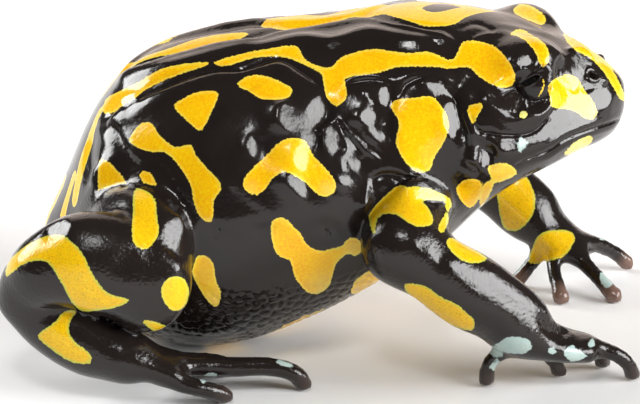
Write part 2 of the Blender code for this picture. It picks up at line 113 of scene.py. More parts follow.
leftArm = {
    "upperArm": ((4.9, 3.0, 9.6, 1.7, 1.9), (5.0, 5.5, 8.9, 1.7, 1.85), (5.5, 7.4, 7.4, 1.65, 1.7)),
    "forearm": ((5.5, 7.6, 7.3, 1.6, 1.65), (7.2, 7.7, 6.2, 1.6, 1.65), (8.9, 7.6, 4.75, 1.5, 1.6),
                (10.3, 7.3, 3.6, 1.3, 1.4)),
    "hand": ((10.1, 7.3, 3.65, 1.3, 1.3), (11.4, 6.9, 2.6, 1.5, 1.0), (12.7, 6.5, 1.85, 1.4, 0.65)),
    "fingers": (
        ((11.1, 6.4, 1.95, 0.42), (10.5, 6.1, 1.25, 0.37), (10.1, 6.0, 0.75, 0.35), (9.8, 5.95, 0.35, 0.38)),
        ((11.6, 5.9, 1.9, 0.42), (11.5, 5.1, 1.35, 0.37), (11.65, 4.3, 0.8, 0.35), (11.8, 3.65, 0.35, 0.38)),
        ((12.6, 6.2, 1.85, 0.46), (13.0, 5.4, 1.5, 0.4), (13.7, 4.6, 0.95, 0.36), (14.4, 3.85, 0.36, 0.39)),
        ((12.9, 6.9, 1.9, 0.46), (13.7, 7.4, 1.7, 0.41), (14.75, 8.1, 0.95, 0.36), (15.35, 8.3, 0.36, 0.39))),
}
rightLeg = {
    "thigh": ((-8.8, -2.6, 6.6, 2.1, 2.3), (-8.5, -5.0, 6.9, 2.4, 2.65), (-8.0, -7.0, 6.9, 2.3, 2.75),
              (-7.7, -8.5, 5.9, 1.7, 2.2)),
    "shank": ((-7.8, -8.6, 5.5, 1.8, 2.1), (-9.2, -8.8, 6.6, 2.0, 2.4), (-10.8, -8.8, 6.9, 1.95, 2.35),
              (-12.3, -8.5, 6.4, 1.8, 1.85), (-13.1, -8.0, 5.5, 1.6, 1.6)),
    "tarsus": ((-13.5, -7.9, 4.85, 1.35, 1.35), (-12.3, -8.3, 3.8, 1.4, 1.5), (-10.5, -8.6, 2.75, 1.35, 1.5),
               (-8.9, -8.7, 2.25, 1.25, 1.15)),
    "foot": ((-9.0, -8.7, 2.25, 1.25, 1.1), (-7.9, -8.6, 1.95, 1.35, 0.85), (-6.9, -8.5, 1.65, 1.35, 0.62)),
    "toes": (
        ((-8.2, -7.9, 1.6, 0.46), (-7.4, -6.6, 1.05, 0.4), (-7.0, -5.7, 0.65, 0.37), (-6.85, -5.25, 0.37, 0.4)),
        ((-7.5, -8.0, 1.6, 0.48), (-6.5, -6.6, 1.15, 0.42), (-5.9, -5.5, 0.75, 0.38),
         (-5.7, -5.05, 0.38, 0.41)),
        ((-7.0, -8.0, 1.6, 0.5), (-5.75, -6.9, 1.25, 0.44), (-4.65, -6.0, 0.8, 0.4), (-4.3, -5.6, 0.39, 0.42)),
        ((-7.0, -8.5, 1.65, 0.55), (-5.8, -8.25, 1.6, 0.5), (-3.95, -7.8, 1.35, 0.47), (-2.1, -7.6, 1.25, 0.44),
         (-1.1, -7.5, 0.85, 0.42), (-0.8, -7.4, 0.39, 0.42)),
        ((-7.3, -9.1, 1.5, 0.48), (-6.2, -9.45, 1.15, 0.43), (-5.1, -9.3, 0.8, 0.41),
         (-4.4, -8.95, 0.39, 0.42))),
}
# The unseen left leg is the right one mirrored and drawn forward, its foot turned out.
leftLegPose = {"hip": 1.4, "knee": 2.9, "ankle": 3.1, "footTurn": math.radians(22)}

eyeForm = {"centre": (9.7, 2.75, 13.6), "radius": 1.15, "rings": 40, "sides": 56,
           "lidCentre": (9.7, 2.65, 14.05), "lidRadii": (1.7, 1.55, 1.6), "lidRings": 60, "lidSides": 80}


def bodyTube():
    # Rings along x: a squared ellipse, its upper and lower halves reaching from the widest line to top and belly.
    rows = throughStations(bodyForm["stations"], bodyForm["rows"])
    girth = np.concatenate([[0], np.cumsum(np.hypot(np.diff(rows[:, 0]), np.diff(rows[:, 3])))])
    picked = np.linspace(0, girth[-1], bodyForm["rings"])
    x, widest, halfWidth, top, belly = (np.interp(picked, girth, rows[:, c])[:, None] for c in range(5))
    angle = np.linspace(0, 2 * np.pi, bodyForm["sides"], endpoint=False)
    sine, cosine, squared = np.sin(angle), np.cos(angle), bodyForm["squared"]
    across = halfWidth * np.sign(sine) * np.abs(sine) ** squared
    height = np.where(cosine > 0, top - widest, widest - belly)
    up = widest + height * np.sign(cosine) * np.abs(cosine) ** squared
    return np.stack([np.broadcast_to(x, across.shape), across, up], axis=2)[1:-1]


def limbTube(stations, count=limbForm["rings"]):
    # Ellipses across a smooth path, their axes carried along it without twist, and a round cap at each end.
    rows = throughStations(stations, count)
    centre, wide, high = rows[:, :3], rows[:, 3], rows[:, 4]
    along = np.gradient(centre, axis=0)
    along /= np.linalg.norm(along, axis=1)[:, None]
    side = np.cross((0.0, 0.0, 1.0), along[0])
    if np.linalg.norm(side) < 0.2:  # the limb starts upright
        side = np.array((0.0, 1.0, 0.0))
    across = []
    for direction in along:
        side = side - (side @ direction) * direction
        side = side / np.linalg.norm(side)
        across.append(side)
    across = np.array(across)
    up = np.cross(along, across)
    turn = np.linspace(0, 2 * np.pi, limbForm["sides"], endpoint=False)[:, None]
    lean = np.linspace(0, np.pi / 2, limbForm["capRings"] + 1)[1:]
    station = np.concatenate([np.zeros(len(lean), int), np.arange(count), np.full(len(lean), count - 1)])
    scale = np.concatenate([np.cos(lean[::-1]), np.ones(count), np.cos(lean)])
    push = np.concatenate([-np.sin(lean[::-1]) * min(wide[0], high[0]), np.zeros(count),
                           np.sin(lean) * min(wide[-1], high[-1])])
    scale[0] = scale[-1] = limbForm["capEnd"]
    middle = centre[station] + along[station] * push[:, None]
    return (middle[:, None] + np.cos(turn) * (across[station] * (wide[station] * scale)[:, None])[:, None]
            + np.sin(turn) * (up[station] * (high[station] * scale)[:, None])[:, None])


def ballTube(centre, radii, rings, sides):
    # An ellipsoid as rings of latitude.
    latitude = np.linspace(-np.pi / 2, np.pi / 2, rings + 2)[1:-1, None]
    turn = np.linspace(0, 2 * np.pi, sides, endpoint=False)
    unit = np.stack([np.cos(latitude) * np.cos(turn), np.cos(latitude) * np.sin(turn),
                     np.broadcast_to(np.sin(latitude), (rings, sides))], axis=2)
    return np.array(centre) + unit * np.array(radii)


def tubeFaces(rings, sides):
    # Quads between neighbouring rings, and the two fans of triangles that close the ends.
    i, j = np.meshgrid(np.arange(rings - 1), np.arange(sides), indexing="ij")
    k = (j + 1) % sides
    here, beyond = i * sides, (i + 1) * sides
    quads = np.stack([here + j, here + k, beyond + k, beyond + j], axis=2).reshape(-1, 4)
    j = np.arange(sides)
    k = (j + 1) % sides
    first, last = np.full(sides, rings * sides), np.full(sides, rings * sides + 1)
    base = (rings - 1) * sides
    return quads, np.concatenate([np.stack([k, j, first], axis=1), np.stack([base + j, base + k, last], axis=1)])


# One grid of space around the whole animal. Each form fills it with its distance, cut off at the band.
space = {"low": (-15.9, -11.6, -0.45), "high": (16.4, 11.9, 16.9), "voxel": 0.213, "quickVoxel": 0.24,
         "band": 1.5, "floor": 0.012}
low, voxel = np.array(space["low"]), space["voxel"]
shape = tuple(int(n) for n in np.ceil((np.array(space["high"]) - low) / voxel))
transform = vdb.createLinearTransform(voxelSize=voxel)
lowCell = tuple(int(n) for n in np.round(low / voxel))
low = np.array(lowCell) * voxel


def distanceOf(rings):
    # The distance to a closed tube at each point of the space's grid, negative inside.
    points = np.concatenate([rings.reshape(-1, 3), [rings[0].mean(axis=0)], [rings[-1].mean(axis=0)]])
    quads, triangles = tubeFaces(*rings.shape[:2])
    grid = vdb.FloatGrid.createLevelSetFromPolygons(
        points.astype(np.float32), triangles=triangles.astype(np.uint32), quads=quads.astype(np.uint32),
        transform=transform, halfWidth=space["band"] / voxel)
    field = np.empty(shape, np.float32)
    grid.copyToArray(field, ijk=lowCell)
    return field


def melt(a, b, reach):
    # Joins two forms: the smaller distance, less a rounding where the two are nearly equal.
    share = np.maximum(reach - np.abs(a - b), 0) / reach
    return np.minimum(a, b) - share * share * (reach / 4)


def sampled(field, points):
    # The field's value between the grid's points, weighted along the three axes.
    place = (points - low) / voxel
    cell = np.clip(np.floor(place).astype(int), 0, np.array(shape) - 2)
    part = np.clip(place - cell, 0, 1)
    total = np.zeros(len(points))
    for corner in range(8):
        step = np.array((corner & 1, corner >> 1 & 1, corner >> 2 & 1))
        weight = np.prod(np.where(step, part, 1 - part), axis=1)
        i, j, k = (cell + step).T
        total += weight * field[i, j, k]
    return total


def legPlaced(stations, shift):
    # Stations mirrored to the left side and moved forward by the shift.
    return [(row[0] + s, -row[1], *row[2:]) for row, s in zip(stations, np.broadcast_to(shift, len(stations)))]


def turnedOut(stations, pivot, angle):
    # Stations turned about the pivot, seen from above.
    sine, cosine = math.sin(angle), math.cos(angle)
    made = []
    for row in stations:
        x, y = row[0] - pivot[0], row[1] - pivot[1]
        made.append((pivot[0] + x * cosine - y * sine, pivot[1] + x * sine + y * cosine, *row[2:]))
    return made


def mirroredLeg(leg, pose):
    # The right leg's stations mirrored, each part moved forward by its joints' shifts, and the foot turned out.
    made = {"thigh": legPlaced(leg["thigh"], np.linspace(pose["hip"], pose["knee"], len(leg["thigh"]))),
            "shank": legPlaced(leg["shank"], np.linspace(pose["knee"], pose["ankle"], len(leg["shank"]))),
            "tarsus": legPlaced(leg["tarsus"], pose["ankle"])}
    pivot = made["tarsus"][-1]
    made["foot"] = turnedOut(legPlaced(leg["foot"], pose["ankle"]), pivot, pose["footTurn"])
    made["toes"] = [turnedOut(legPlaced(toe, pose["ankle"]), pivot, pose["footTurn"]) for toe in leg["toes"]]
    return made


leftLeg = mirroredLeg(rightLeg, leftLegPose)
meltReach = {"lid": 0.9, "elbow": 0.8, "finger": 0.45, "knee": 0.35, "heel": 0.3, "foot": 0.6,
             "root": 1.2, "outer": 0.28}  # a limb melts widely at its root, and lies against the flank further out
meltBand = {"hip": (4.2, 6.0), "shoulder": (3.6, 5.6)}  # where the root ends and where the outer part starts


def armField(arm):
    # The arm's lengths melted one into the next, then its fingers.
    field = distanceOf(limbTube(arm["upperArm"]))
    for name in ("forearm", "hand"):
        field = melt(field, distanceOf(limbTube(arm[name])), meltReach["elbow"])
    for finger in arm["fingers"]:
        field = melt(field, distanceOf(limbTube(finger)), meltReach["finger"])
    return field


def footField(leg):
    # The tarsus and the foot melted together, then the toes.
    field = melt(distanceOf(limbTube(leg["tarsus"])), distanceOf(limbTube(leg["foot"])), meltReach["foot"])
    for toe in leg["toes"]:
        field = melt(field, distanceOf(limbTube(toe, limbForm["toeRings"])), meltReach["finger"])
    return field


def builtFields():
    # One field for each part of the body that carries marks of its own.
    fields = {"body": distanceOf(bodyTube())}
    for side in (-1, 1):
        x, y, z = eyeForm["lidCentre"]
        lid = distanceOf(ballTube((x, side * y, z), eyeForm["lidRadii"], eyeForm["lidRings"], eyeForm["lidSides"]))
        fields["body"] = melt(fields["body"], lid, meltReach["lid"])
    for name, arm, leg in (("Right", rightArm, rightLeg), ("Left", leftArm, leftLeg)):
        fields["arm" + name] = armField(arm)
        fields["thigh" + name] = distanceOf(limbTube(leg["thigh"]))
        fields["shank" + name] = distanceOf(limbTube(leg["shank"]))
        fields["foot" + name] = footField(leg)
    return fields


def joinedField(fields):
    # The limbs melted into the trunk, over a reach that shrinks outwards, and all cut off level at the floor.
    whole = fields["body"]
    across = np.abs(low[1] + np.arange(shape[1]) * voxel)
    hipReach, shoulderReach = (np.interp(across, band, (meltReach["root"], meltReach["outer"]))[None, :, None]
                               for band in (meltBand["hip"], meltBand["shoulder"]))
    for name in ("Right", "Left"):
        whole = melt(whole, fields["arm" + name], shoulderReach)
        leg = melt(fields["thigh" + name], fields["shank" + name], meltReach["knee"])
        leg = melt(leg, fields["foot" + name], meltReach["heel"])
        whole = melt(whole, leg, hipReach)
    floorLine = low[2] + np.arange(shape[2]) * voxel
    return np.maximum(whole, (space["floor"] - floorLine)[None, None, :]).astype(np.float32)


def surfaceOf(field):
    # The surface on which the field is zero, as points and quads that face outwards.
    grid = vdb.FloatGrid(space["band"])
    grid.transform = transform
    grid.copyFromArray(field.astype(np.float32), ijk=lowCell)
    points, quads = grid.convertToQuads(0.0)
    return points.astype(float), quads[:, ::-1].astype(int)


def neighbourEdges(faces):
    # Each pair of corners that share a side, once.
    pairs = np.concatenate([faces[:, (i, (i + 1) % faces.shape[1])] for i in range(faces.shape[1])])
    return np.unique(np.sort(pairs, axis=1), axis=0)


evening = {"give": 0.55, "takeBack": -0.58, "firstRounds": 6, "lastRounds": 3}


def evened(points, edges, rounds):
    # Smoothing in pairs: a step towards the neighbours' mean, then one away from it, so that the size stays.
    count = np.bincount(edges.ravel(), minlength=len(points))[:, None]
    for _ in range(rounds):
        for step in (evening["give"], evening["takeBack"]):
            total = np.stack([np.bincount(edges[:, 0], points[edges[:, 1], c], len(points))
                              + np.bincount(edges[:, 1], points[edges[:, 0], c], len(points))
                              for c in range(3)], axis=1)
            points = points + step * (total / count - points)
    return points


print("forms: distances")
fields = builtFields()
points, quads = surfaceOf(joinedField(fields))
edges = neighbourEdges(quads)
points = evened(points, edges, evening["firstRounds"])
print(f"skin: {len(points)} points, {len(quads)} quads")


def rowsOf(items, name):
    # What each of a mesh's items holds under the name, as rows of three numbers.
    flat = np.empty(len(items) * 3, np.float32)
    items.foreach_get(name, flat)
    return flat.reshape(-1, 3).astype(float)


def coordinates(mesh):
    # The mesh's points.
    return rowsOf(mesh.vertices, "co")


def finerWhere(mesh, near):
    # Splits each face whose corners are all picked into four.
    bm = bmesh.new()
    bm.from_mesh(mesh)
    bm.verts.ensure_lookup_table()
    picked = [e for e in bm.edges if near[e.verts[0].index] and near[e.verts[1].index]]
    bmesh.ops.subdivide_edges(bm, edges=picked, cuts=1, use_grid_fill=True, smooth=0.0)
    bm.to_mesh(mesh)
    bm.free()


def normals(mesh):
    # Each point's outward direction, from the faces round it.
    mesh.update()
    return rowsOf(mesh.vertex_normals, "vector")


def smooth(value, start, end):
    # A share that goes from 0 at the start to 1 at the end: three squares less two cubes.
    t = np.clip((value - start) / (end - start), 0, 1)
    return t * t * (3 - 2 * t)


def smoothCurve(line, closed=False, steps=4):
    # A Catmull-Rom curve through the line's points.
    p = np.array(line, float)
    if not closed:
        p = np.concatenate([[2 * p[0] - p[1]], p, [2 * p[-1] - p[-2]]])
    before, after, beyond = np.roll(p, 1, 0), np.roll(p, -1, 0), np.roll(p, -2, 0)
    t = (np.arange(steps) / steps)[None, :, None]
    a, b, c, d = (q[:, None, :] for q in (before, p, after, beyond))
    curve = 0.5 * (2 * b + (c - a) * t + (2 * a - 5 * b + 4 * c - d) * t**2 + (3 * b - a - 3 * c + d) * t**3)
    if closed:
        return curve.reshape(-1, p.shape[1])
    return np.concatenate([curve[1:-2].reshape(-1, p.shape[1]), p[-2:-1]])


def segmentDistance(points, line):
    # The least distance from each point to a chain of straight pieces.
    least = np.full(len(points), 1e9)
    for a, b in zip(line[:-1], line[1:]):
        span = b - a
        t = np.clip((points - a) @ span / max(span @ span, 1e-9), 0, 1)
        least = np.minimum(least, np.linalg.norm(points - a - t[:, None] * span, axis=1))
    return least


flip = np.array((1, -1, 1))


def onRightSide(points):
    # Points of the left side are mirrored, the others stay.
    return np.where(points[:, 1:2] > 0, points * flip, points)


bodyMiddle = np.array((0, 0, 8.0))
mesh = bpy.data.meshes.new("skin")
mesh.from_pydata(points.tolist(), [], quads.tolist())
if (normals(mesh) * (points - bodyMiddle)).sum() < 0:
    mesh.flip_normals()


# Folds and creases of the right side: a line in the photograph's pixels, half its width and its height in mm
folds = {
    "backGroove": (((118, 74), (150, 62), (180, 51), (228, 40), (250, 38), (276, 30), (305, 25), (346, 17),
                    (367, 15), (393, 21), (418, 26), (442, 30)), 0.14, -0.14),
    "backRoll": (((112, 86), (140, 75), (207, 58), (240, 50), (264, 49), (300, 41), (335, 43), (368, 34),
                 (402, 40), (436, 44)), 0.36, 0.30),
    "backRidge": (((116, 78), (154, 65), (182, 55), (229, 45), (250, 43), (276, 35), (305, 30), (346, 22),
                   (367, 20), (393, 26), (418, 31), (442, 36), (456, 45)), 0.13, 0.12),
    "backLine": (((140, 92), (170, 78), (207, 70), (240, 70), (276, 62)), 0.10, -0.08),
    "sideLedge": (((104, 128), (110, 115), (128, 104), (152, 92), (184, 79), (214, 70), (240, 69), (276, 59),
                   (300, 70), (320, 86)), 0.15, -0.16),
    "sideRoll": (((108, 134), (116, 121), (134, 110), (158, 99), (190, 86), (216, 79), (245, 76), (276, 68),
                  (300, 80), (312, 94)), 0.42, 0.16),
    "sideRidge": (((106, 122), (124, 106), (150, 93)), 0.12, 0.09),
    "rollOverShoulder": (((344, 84), (352, 78), (369, 75), (390, 79)), 0.2, 0.12),
    "grooveOverShoulder": (((342, 92), (349, 84), (369, 80), (390, 83)), 0.11, -0.12),
    "markRoll": (((396, 88), (402, 78), (424, 72), (444, 76), (456, 88)), 0.24, 0.12),
    "markGroove": (((400, 95), (406, 84), (424, 78), (442, 82)), 0.12, -0.10),
    "padRidgeA": (((337, 117), (342, 132), (347, 147), (342, 168)), 0.10, 0.09),
    "padRidgeB": (((341, 119), (352, 136), (366, 150), (382, 161)), 0.09, 0.08),
    "flankFoldA": (((344, 150), (346, 166), (350, 176)), 0.14, -0.12),
    "flankFoldD": (((391, 100), (389, 124), (394, 148)), 0.2, -0.16),
    "flankDip": (((270, 118), (262, 150), (272, 176)), 0.8, -0.10),
    "lowerRoll": (((190, 234), (225, 225), (262, 220), (300, 215), (345, 213)), 0.7, 0.11),
    "flankDent": (((322, 224), (332, 229), (338, 240)), 0.26, -0.26),
    "flankDentB": (((208, 228), (220, 235), (226, 236)), 0.26, -0.26),
    "flankDentC": (((254, 228), (262, 230), (268, 229)), 0.26, -0.26),
    "shoulderRidge": (((407, 171.5), (416, 176), (428, 183.5), (440, 189.5)), 0.10, 0.16),
    "armpitRidge": (((375, 177), (368, 188), (363, 205)), 0.15, 0.16),
    "armpitFold": (((372, 182), (384, 176), (402, 177), (426, 187), (448, 197)), 0.14, -0.22),
    "shoulderPad": (((398, 172), (418, 178)), 0.3, 0.10),
    "neckFoldA": (((444, 88), (455, 100), (461, 122), (466, 142), (462, 158)), 0.14, -0.18),
    "neckFoldB": (((480, 140), (478.5, 152), (475, 167)), 0.08, -0.09),
    "neckFoldC": (((484, 138), (492, 148), (487, 166)), 0.12, -0.13),
    "earPad": (((450, 86), (462, 92), (470, 102)), 0.26, 0.12),
    "browRidge": (((466, 46), (478, 38), (492, 34.5), (505, 33), (516, 37)), 0.12, 0.09),
    "headGroove": (((462, 28), (475, 23), (487, 27), (495, 34)), 0.12, -0.09),
    "crownRidge": (((490, 25), (508, 27), (528, 31), (546, 34), (562, 38)), 0.14, 0.07),
    "eyeRoll": (((474, 95), (485, 102.5), (500, 110.5), (518, 116), (536, 113), (547, 106), (553, 96)),
                 0.44, 0.27),
    "cheekCrease": (((470, 116), (475, 126), (480, 131), (494, 133), (518, 135), (535, 131), (546, 121),
                    (554, 110)), 0.07, -0.16),
    "jawAngle": (((484, 137), (487, 150)), 1.7, 0.55),
    "jawBulge": (((484, 152), (502, 151), (522, 149), (549, 142), (578, 130), (602, 117)), 0.42, 0.10),
    "canthus": (((552, 46), (568, 50), (584, 57), (598, 66), (608, 78)), 0.3, 0.05),
    "muzzleDip": (((578, 92), (590, 88), (602, 84)), 0.14, -0.06),
    "lipLine": (((626, 117), (611, 123), (583, 131.5), (563, 140), (549, 150), (532, 156), (515, 161)),
                 0.06, -0.12),
    "upperLip": (((625, 112), (610, 118), (582, 126), (562, 134), (548, 144), (530, 150)), 0.13, 0.05),
    "lowerLip": (((624, 122), (611, 128), (584, 137), (565, 146), (550, 156), (533, 162)), 0.13, 0.05),
    "rumpFold": (((112, 118), (118, 140), (128, 160), (146, 172)), 0.3, -0.14),
    "rumpFoldB": (((94, 128), (90, 150), (88, 178)), 0.25, -0.12),
    "groinFold": (((150, 160), (166, 176), (180, 206), (190, 240)), 0.3, -0.10),
}


def nearLines(points, names, reach):
    # Whether a point lies within reach of the named folds, seen from its own side.
    pixels = toPicture(onRightSide(points))
    near = np.zeros(len(points), bool)
    for name in names:
        line = smoothCurve(folds[name][0])
        around = reach * view["pixelsPerMm"]
        close = np.where(((pixels > line.min(0) - around) & (pixels < line.max(0) + around)).all(axis=1))[0]
        near[close[segmentDistance(pixels[close], line) < around]] = True
    return near


# Low facets where the photograph shows a broad highlight, or a dark place beside one: middle x, y, half length and
# half width in its pixels, turn in degrees, and what the facet mirrors: the right softbox where none is named
facets = {
    "flank": ((288, 121, 10, 12, -20), (315, 110, 10, 13, 20), (303, 123, 9, 9, 0), (309, 138, 9, 12, 10),
              (301, 160, 9, 15, 8), (297, 186, 13, 8, 35), (252, 146, 7, 10, -10), (331, 140, 8, 15, -8),
              (341, 133, 15, 2.5, 72), (362, 140, 27, 2.5, 45), (352, 143, 3.5, 9, -35), (347, 162, 6, 9, 0),
              (358, 164, 6, 6, 20), (346, 180, 8, 5.5, 0), (337, 193, 3, 3, 0), (368, 116, 9, 7.5, 10),
              (370, 100, 3, 10, -30), (384, 96, 7, 8, 20), (377, 135, 10, 5, 38), (368, 191, 2.5, 13, 17),
              (424, 181, 19, 2.5, 30)),
    "neck": ((450, 118, 8, 17, -8), (440, 88, 17, 5, 14), (474, 152, 8, 2.5, -66), (482, 155.5, 10, 4.5, -75),
             (468, 168, 5, 4, 30)),
    "head": ((523, 61.5, 9, 6, -15), (577, 66, 14, 10, 32, "middle"), (572, 80, 8, 7, 0), (603, 98, 8, 11, 20),
             (595, 85.5, 9, 3, -25, "dark"), (489, 136, 8, 3, 8), (506, 141, 10, 5.5, 0),
             (520, 139.5, 8, 3.5, -10), (531, 137, 8, 4.5, -28), (543, 131, 10, 5.5, -38),
             (560, 118, 11, 9, -32), (582, 103, 13, 12, -25), (492, 100, 8, 3.5, 42), (507, 108.5, 11, 3.5, 24),
             (544, 106, 9, 3, -42), (509, 94, 17, 9, 30, "dark")),
    "back": ((333, 47, 6, 4, -10, "over"), (438, 43, 8, 3, 10, "over"), (131, 103, 7, 8, -40, "left"),
             (110, 181, 13, 17, 0, "dark")),
    "arm": ((419, 245, 6, 2.5, 35), (435, 258, 6, 3, 35), (462, 270, 14, 6, 28), (484, 281, 16, 7, 34),
            (506, 298, 16, 7.5, 40), (528, 313, 13, 5.5, 34), (552, 325, 16, 3.5, 26), (428, 194, 20, 6, 14)),
    "leg": ((172, 233, 8, 14, 0), (59, 229, 13, 6, -20, "left"), (160, 264, 16, 8, 20, "dark"),
            (137, 263, 13, 10, 0, "dark")),
}


def facetRing(pixels, row):
    # How far out a point lies in a facet's ellipse: 1 on its edge.
    x, y, long, wide, angle = row[:5]
    across, down = pixels[:, 0] - x, pixels[:, 1] - y
    c, t = math.cos(math.radians(angle)), math.sin(math.radians(angle))
    return np.hypot((across * c + down * t) / long, (down * c - across * t) / wide)


# Each softbox by its bearing from the camera's side, its height, its width and depth, its power and its colour.
# The facets are tilted towards them, and the lights at the end stand there.
softboxes = {
    "over": (-4, 50, 0.09, 0.09, 0.55, (1, 1, 1)), "right": (69, 21, 0.36, 0.20, 3.06, (1, 1, 1)),
    "left": (-112, 26, 0.24, 0.24, 2.3, (1, 1, 1)), "behind": (178, 24, 0.42, 0.42, 0.8, (1, 0.83, 0.74)),
}
lampDistance = 0.45
# What else a facet may mirror: the dark room between the softboxes, and the middle of the right one
otherAims = {"dark": (-20, 25, 1.33, 0.38), "middle": (66, 21, 0.0, 0.0)}


def wayTo(bearing, height):
    # The direction at a bearing from the camera's side and a height, both in degrees.
    bearing, height = math.radians(bearing), math.radians(height)
    return np.array((math.sin(bearing) * math.cos(height), -math.cos(bearing) * math.cos(height), math.sin(height)))


cobbleForm = {"line": 4.9, "slope": 0.1, "fade": (0.7, -0.5), "middle": -1.0, "ends": (11.5, 9.0),
              "spacing": 0.336, "height": 0.0736, "edge": 0.2, "under": (-1.0, -0.8), "least": 0.02,
              "seed": 5, "tries": 9000, "batch": 1500}


def cobbleShare(points):
    # The pebbled skin of the lower flanks: from a sloping line up the flank down to the belly, and not at the ends.
    height = points[:, 2] - cobbleForm["line"] - cobbleForm["slope"] * points[:, 0]
    fromMiddle = np.abs(points[:, 0] - cobbleForm["middle"])
    return smooth(height, *cobbleForm["fade"]) * smooth(fromMiddle, *cobbleForm["ends"])


# The nostril's place, radius and depth in mm, and where its hole starts, ends and has its rim, in radii
nostrilForm = {"place": (12.72, 1.85, 13.62), "radius": 0.18, "depth": 0.32, "hole": (1.25, 0.55),
               "rim": 0.07, "rimAt": 1.75, "rimHalf": 0.1}
fineFolds = ("cheekCrease", "lipLine")
# Where the skin gets finer faces: reaches in mm round eye, nostril and folds, for the first splitting and the
# second, and which folds, facets and cobbles take part
finerForm = {"eyeShift": (0, 1.0, 0.3), "eye": (1.7, 1.25), "nostril": (0.9, 0.6), "fold": (0.3, 0.16),
             "narrowFold": 0.2, "facet": 1.3, "smallFacet": 4, "middle": 0.4, "sideways": 0.2,
             "cobbleShare": 0.1, "cobbleNormals": (-0.72, 0.1), "cobbleSide": 7.3, "cobbleLow": 0.9}


def finerSkin(mesh):
    # Splits the faces near the eyes, nostrils, narrow folds, facets and cobbles, and the finest forms once more.
    for level in (0, 1):
        where = coordinates(mesh)
        normal = normals(mesh)
        pixels = toPicture(onRightSide(where))
        leftSide = onRightSide(where) * flip
        awayFromMiddle = np.abs(where[:, 1]) > finerForm["middle"]
        near = np.zeros(len(where), bool)
        eyePlace = np.add(eyeForm["centre"], finerForm["eyeShift"])
        for name, place in (("eye", eyePlace), ("nostril", nostrilForm["place"])):
            near |= np.linalg.norm(leftSide - np.array(place), axis=1) < finerForm[name][level]
        narrow = [name for name, fold in folds.items() if fold[1] < finerForm["narrowFold"]]
        seen = nearLines(where, fineFolds if level else narrow, finerForm["fold"][level])
        near |= seen & awayFromMiddle & (np.abs(normal[:, 1]) > finerForm["sideways"])
        for row in sum(facets.values(), ()):
            if row[5:] != ("dark",) and (level == 0 or min(row[2:4]) < finerForm["smallFacet"]):
                near |= (facetRing(pixels, row) < finerForm["facet"]) & awayFromMiddle
        if level == 0:
            down, up = finerForm["cobbleNormals"]
            pebbled = (cobbleShare(where) > finerForm["cobbleShare"]) & (normal[:, 2] > down) & (normal[:, 2] < up)
            beside = (np.abs(where[:, 1]) < finerForm["cobbleSide"]) & (where[:, 2] > finerForm["cobbleLow"])
            near |= pebbled & beside
        finerWhere(mesh, near)


finerSkin(mesh)
points = coordinates(mesh)
corners = np.empty(len(mesh.edges) * 2, np.int32)
mesh.edges.foreach_get("vertices", corners)
corners = corners.reshape(-1, 2)
points = evened(points, corners, evening["lastRounds"])
mesh.vertices.foreach_set("co", points.ravel())
normal = normals(mesh)
names = list(fields)
distances = np.stack([sampled(fields[name], points) for name in names])
owner = distances.argmin(axis=0)
fields.clear()


def belongsTo(*parts):
    # Whether the nearest form to a point is one of these parts.
    return np.isin(owner, [names.index(part) for part in parts])


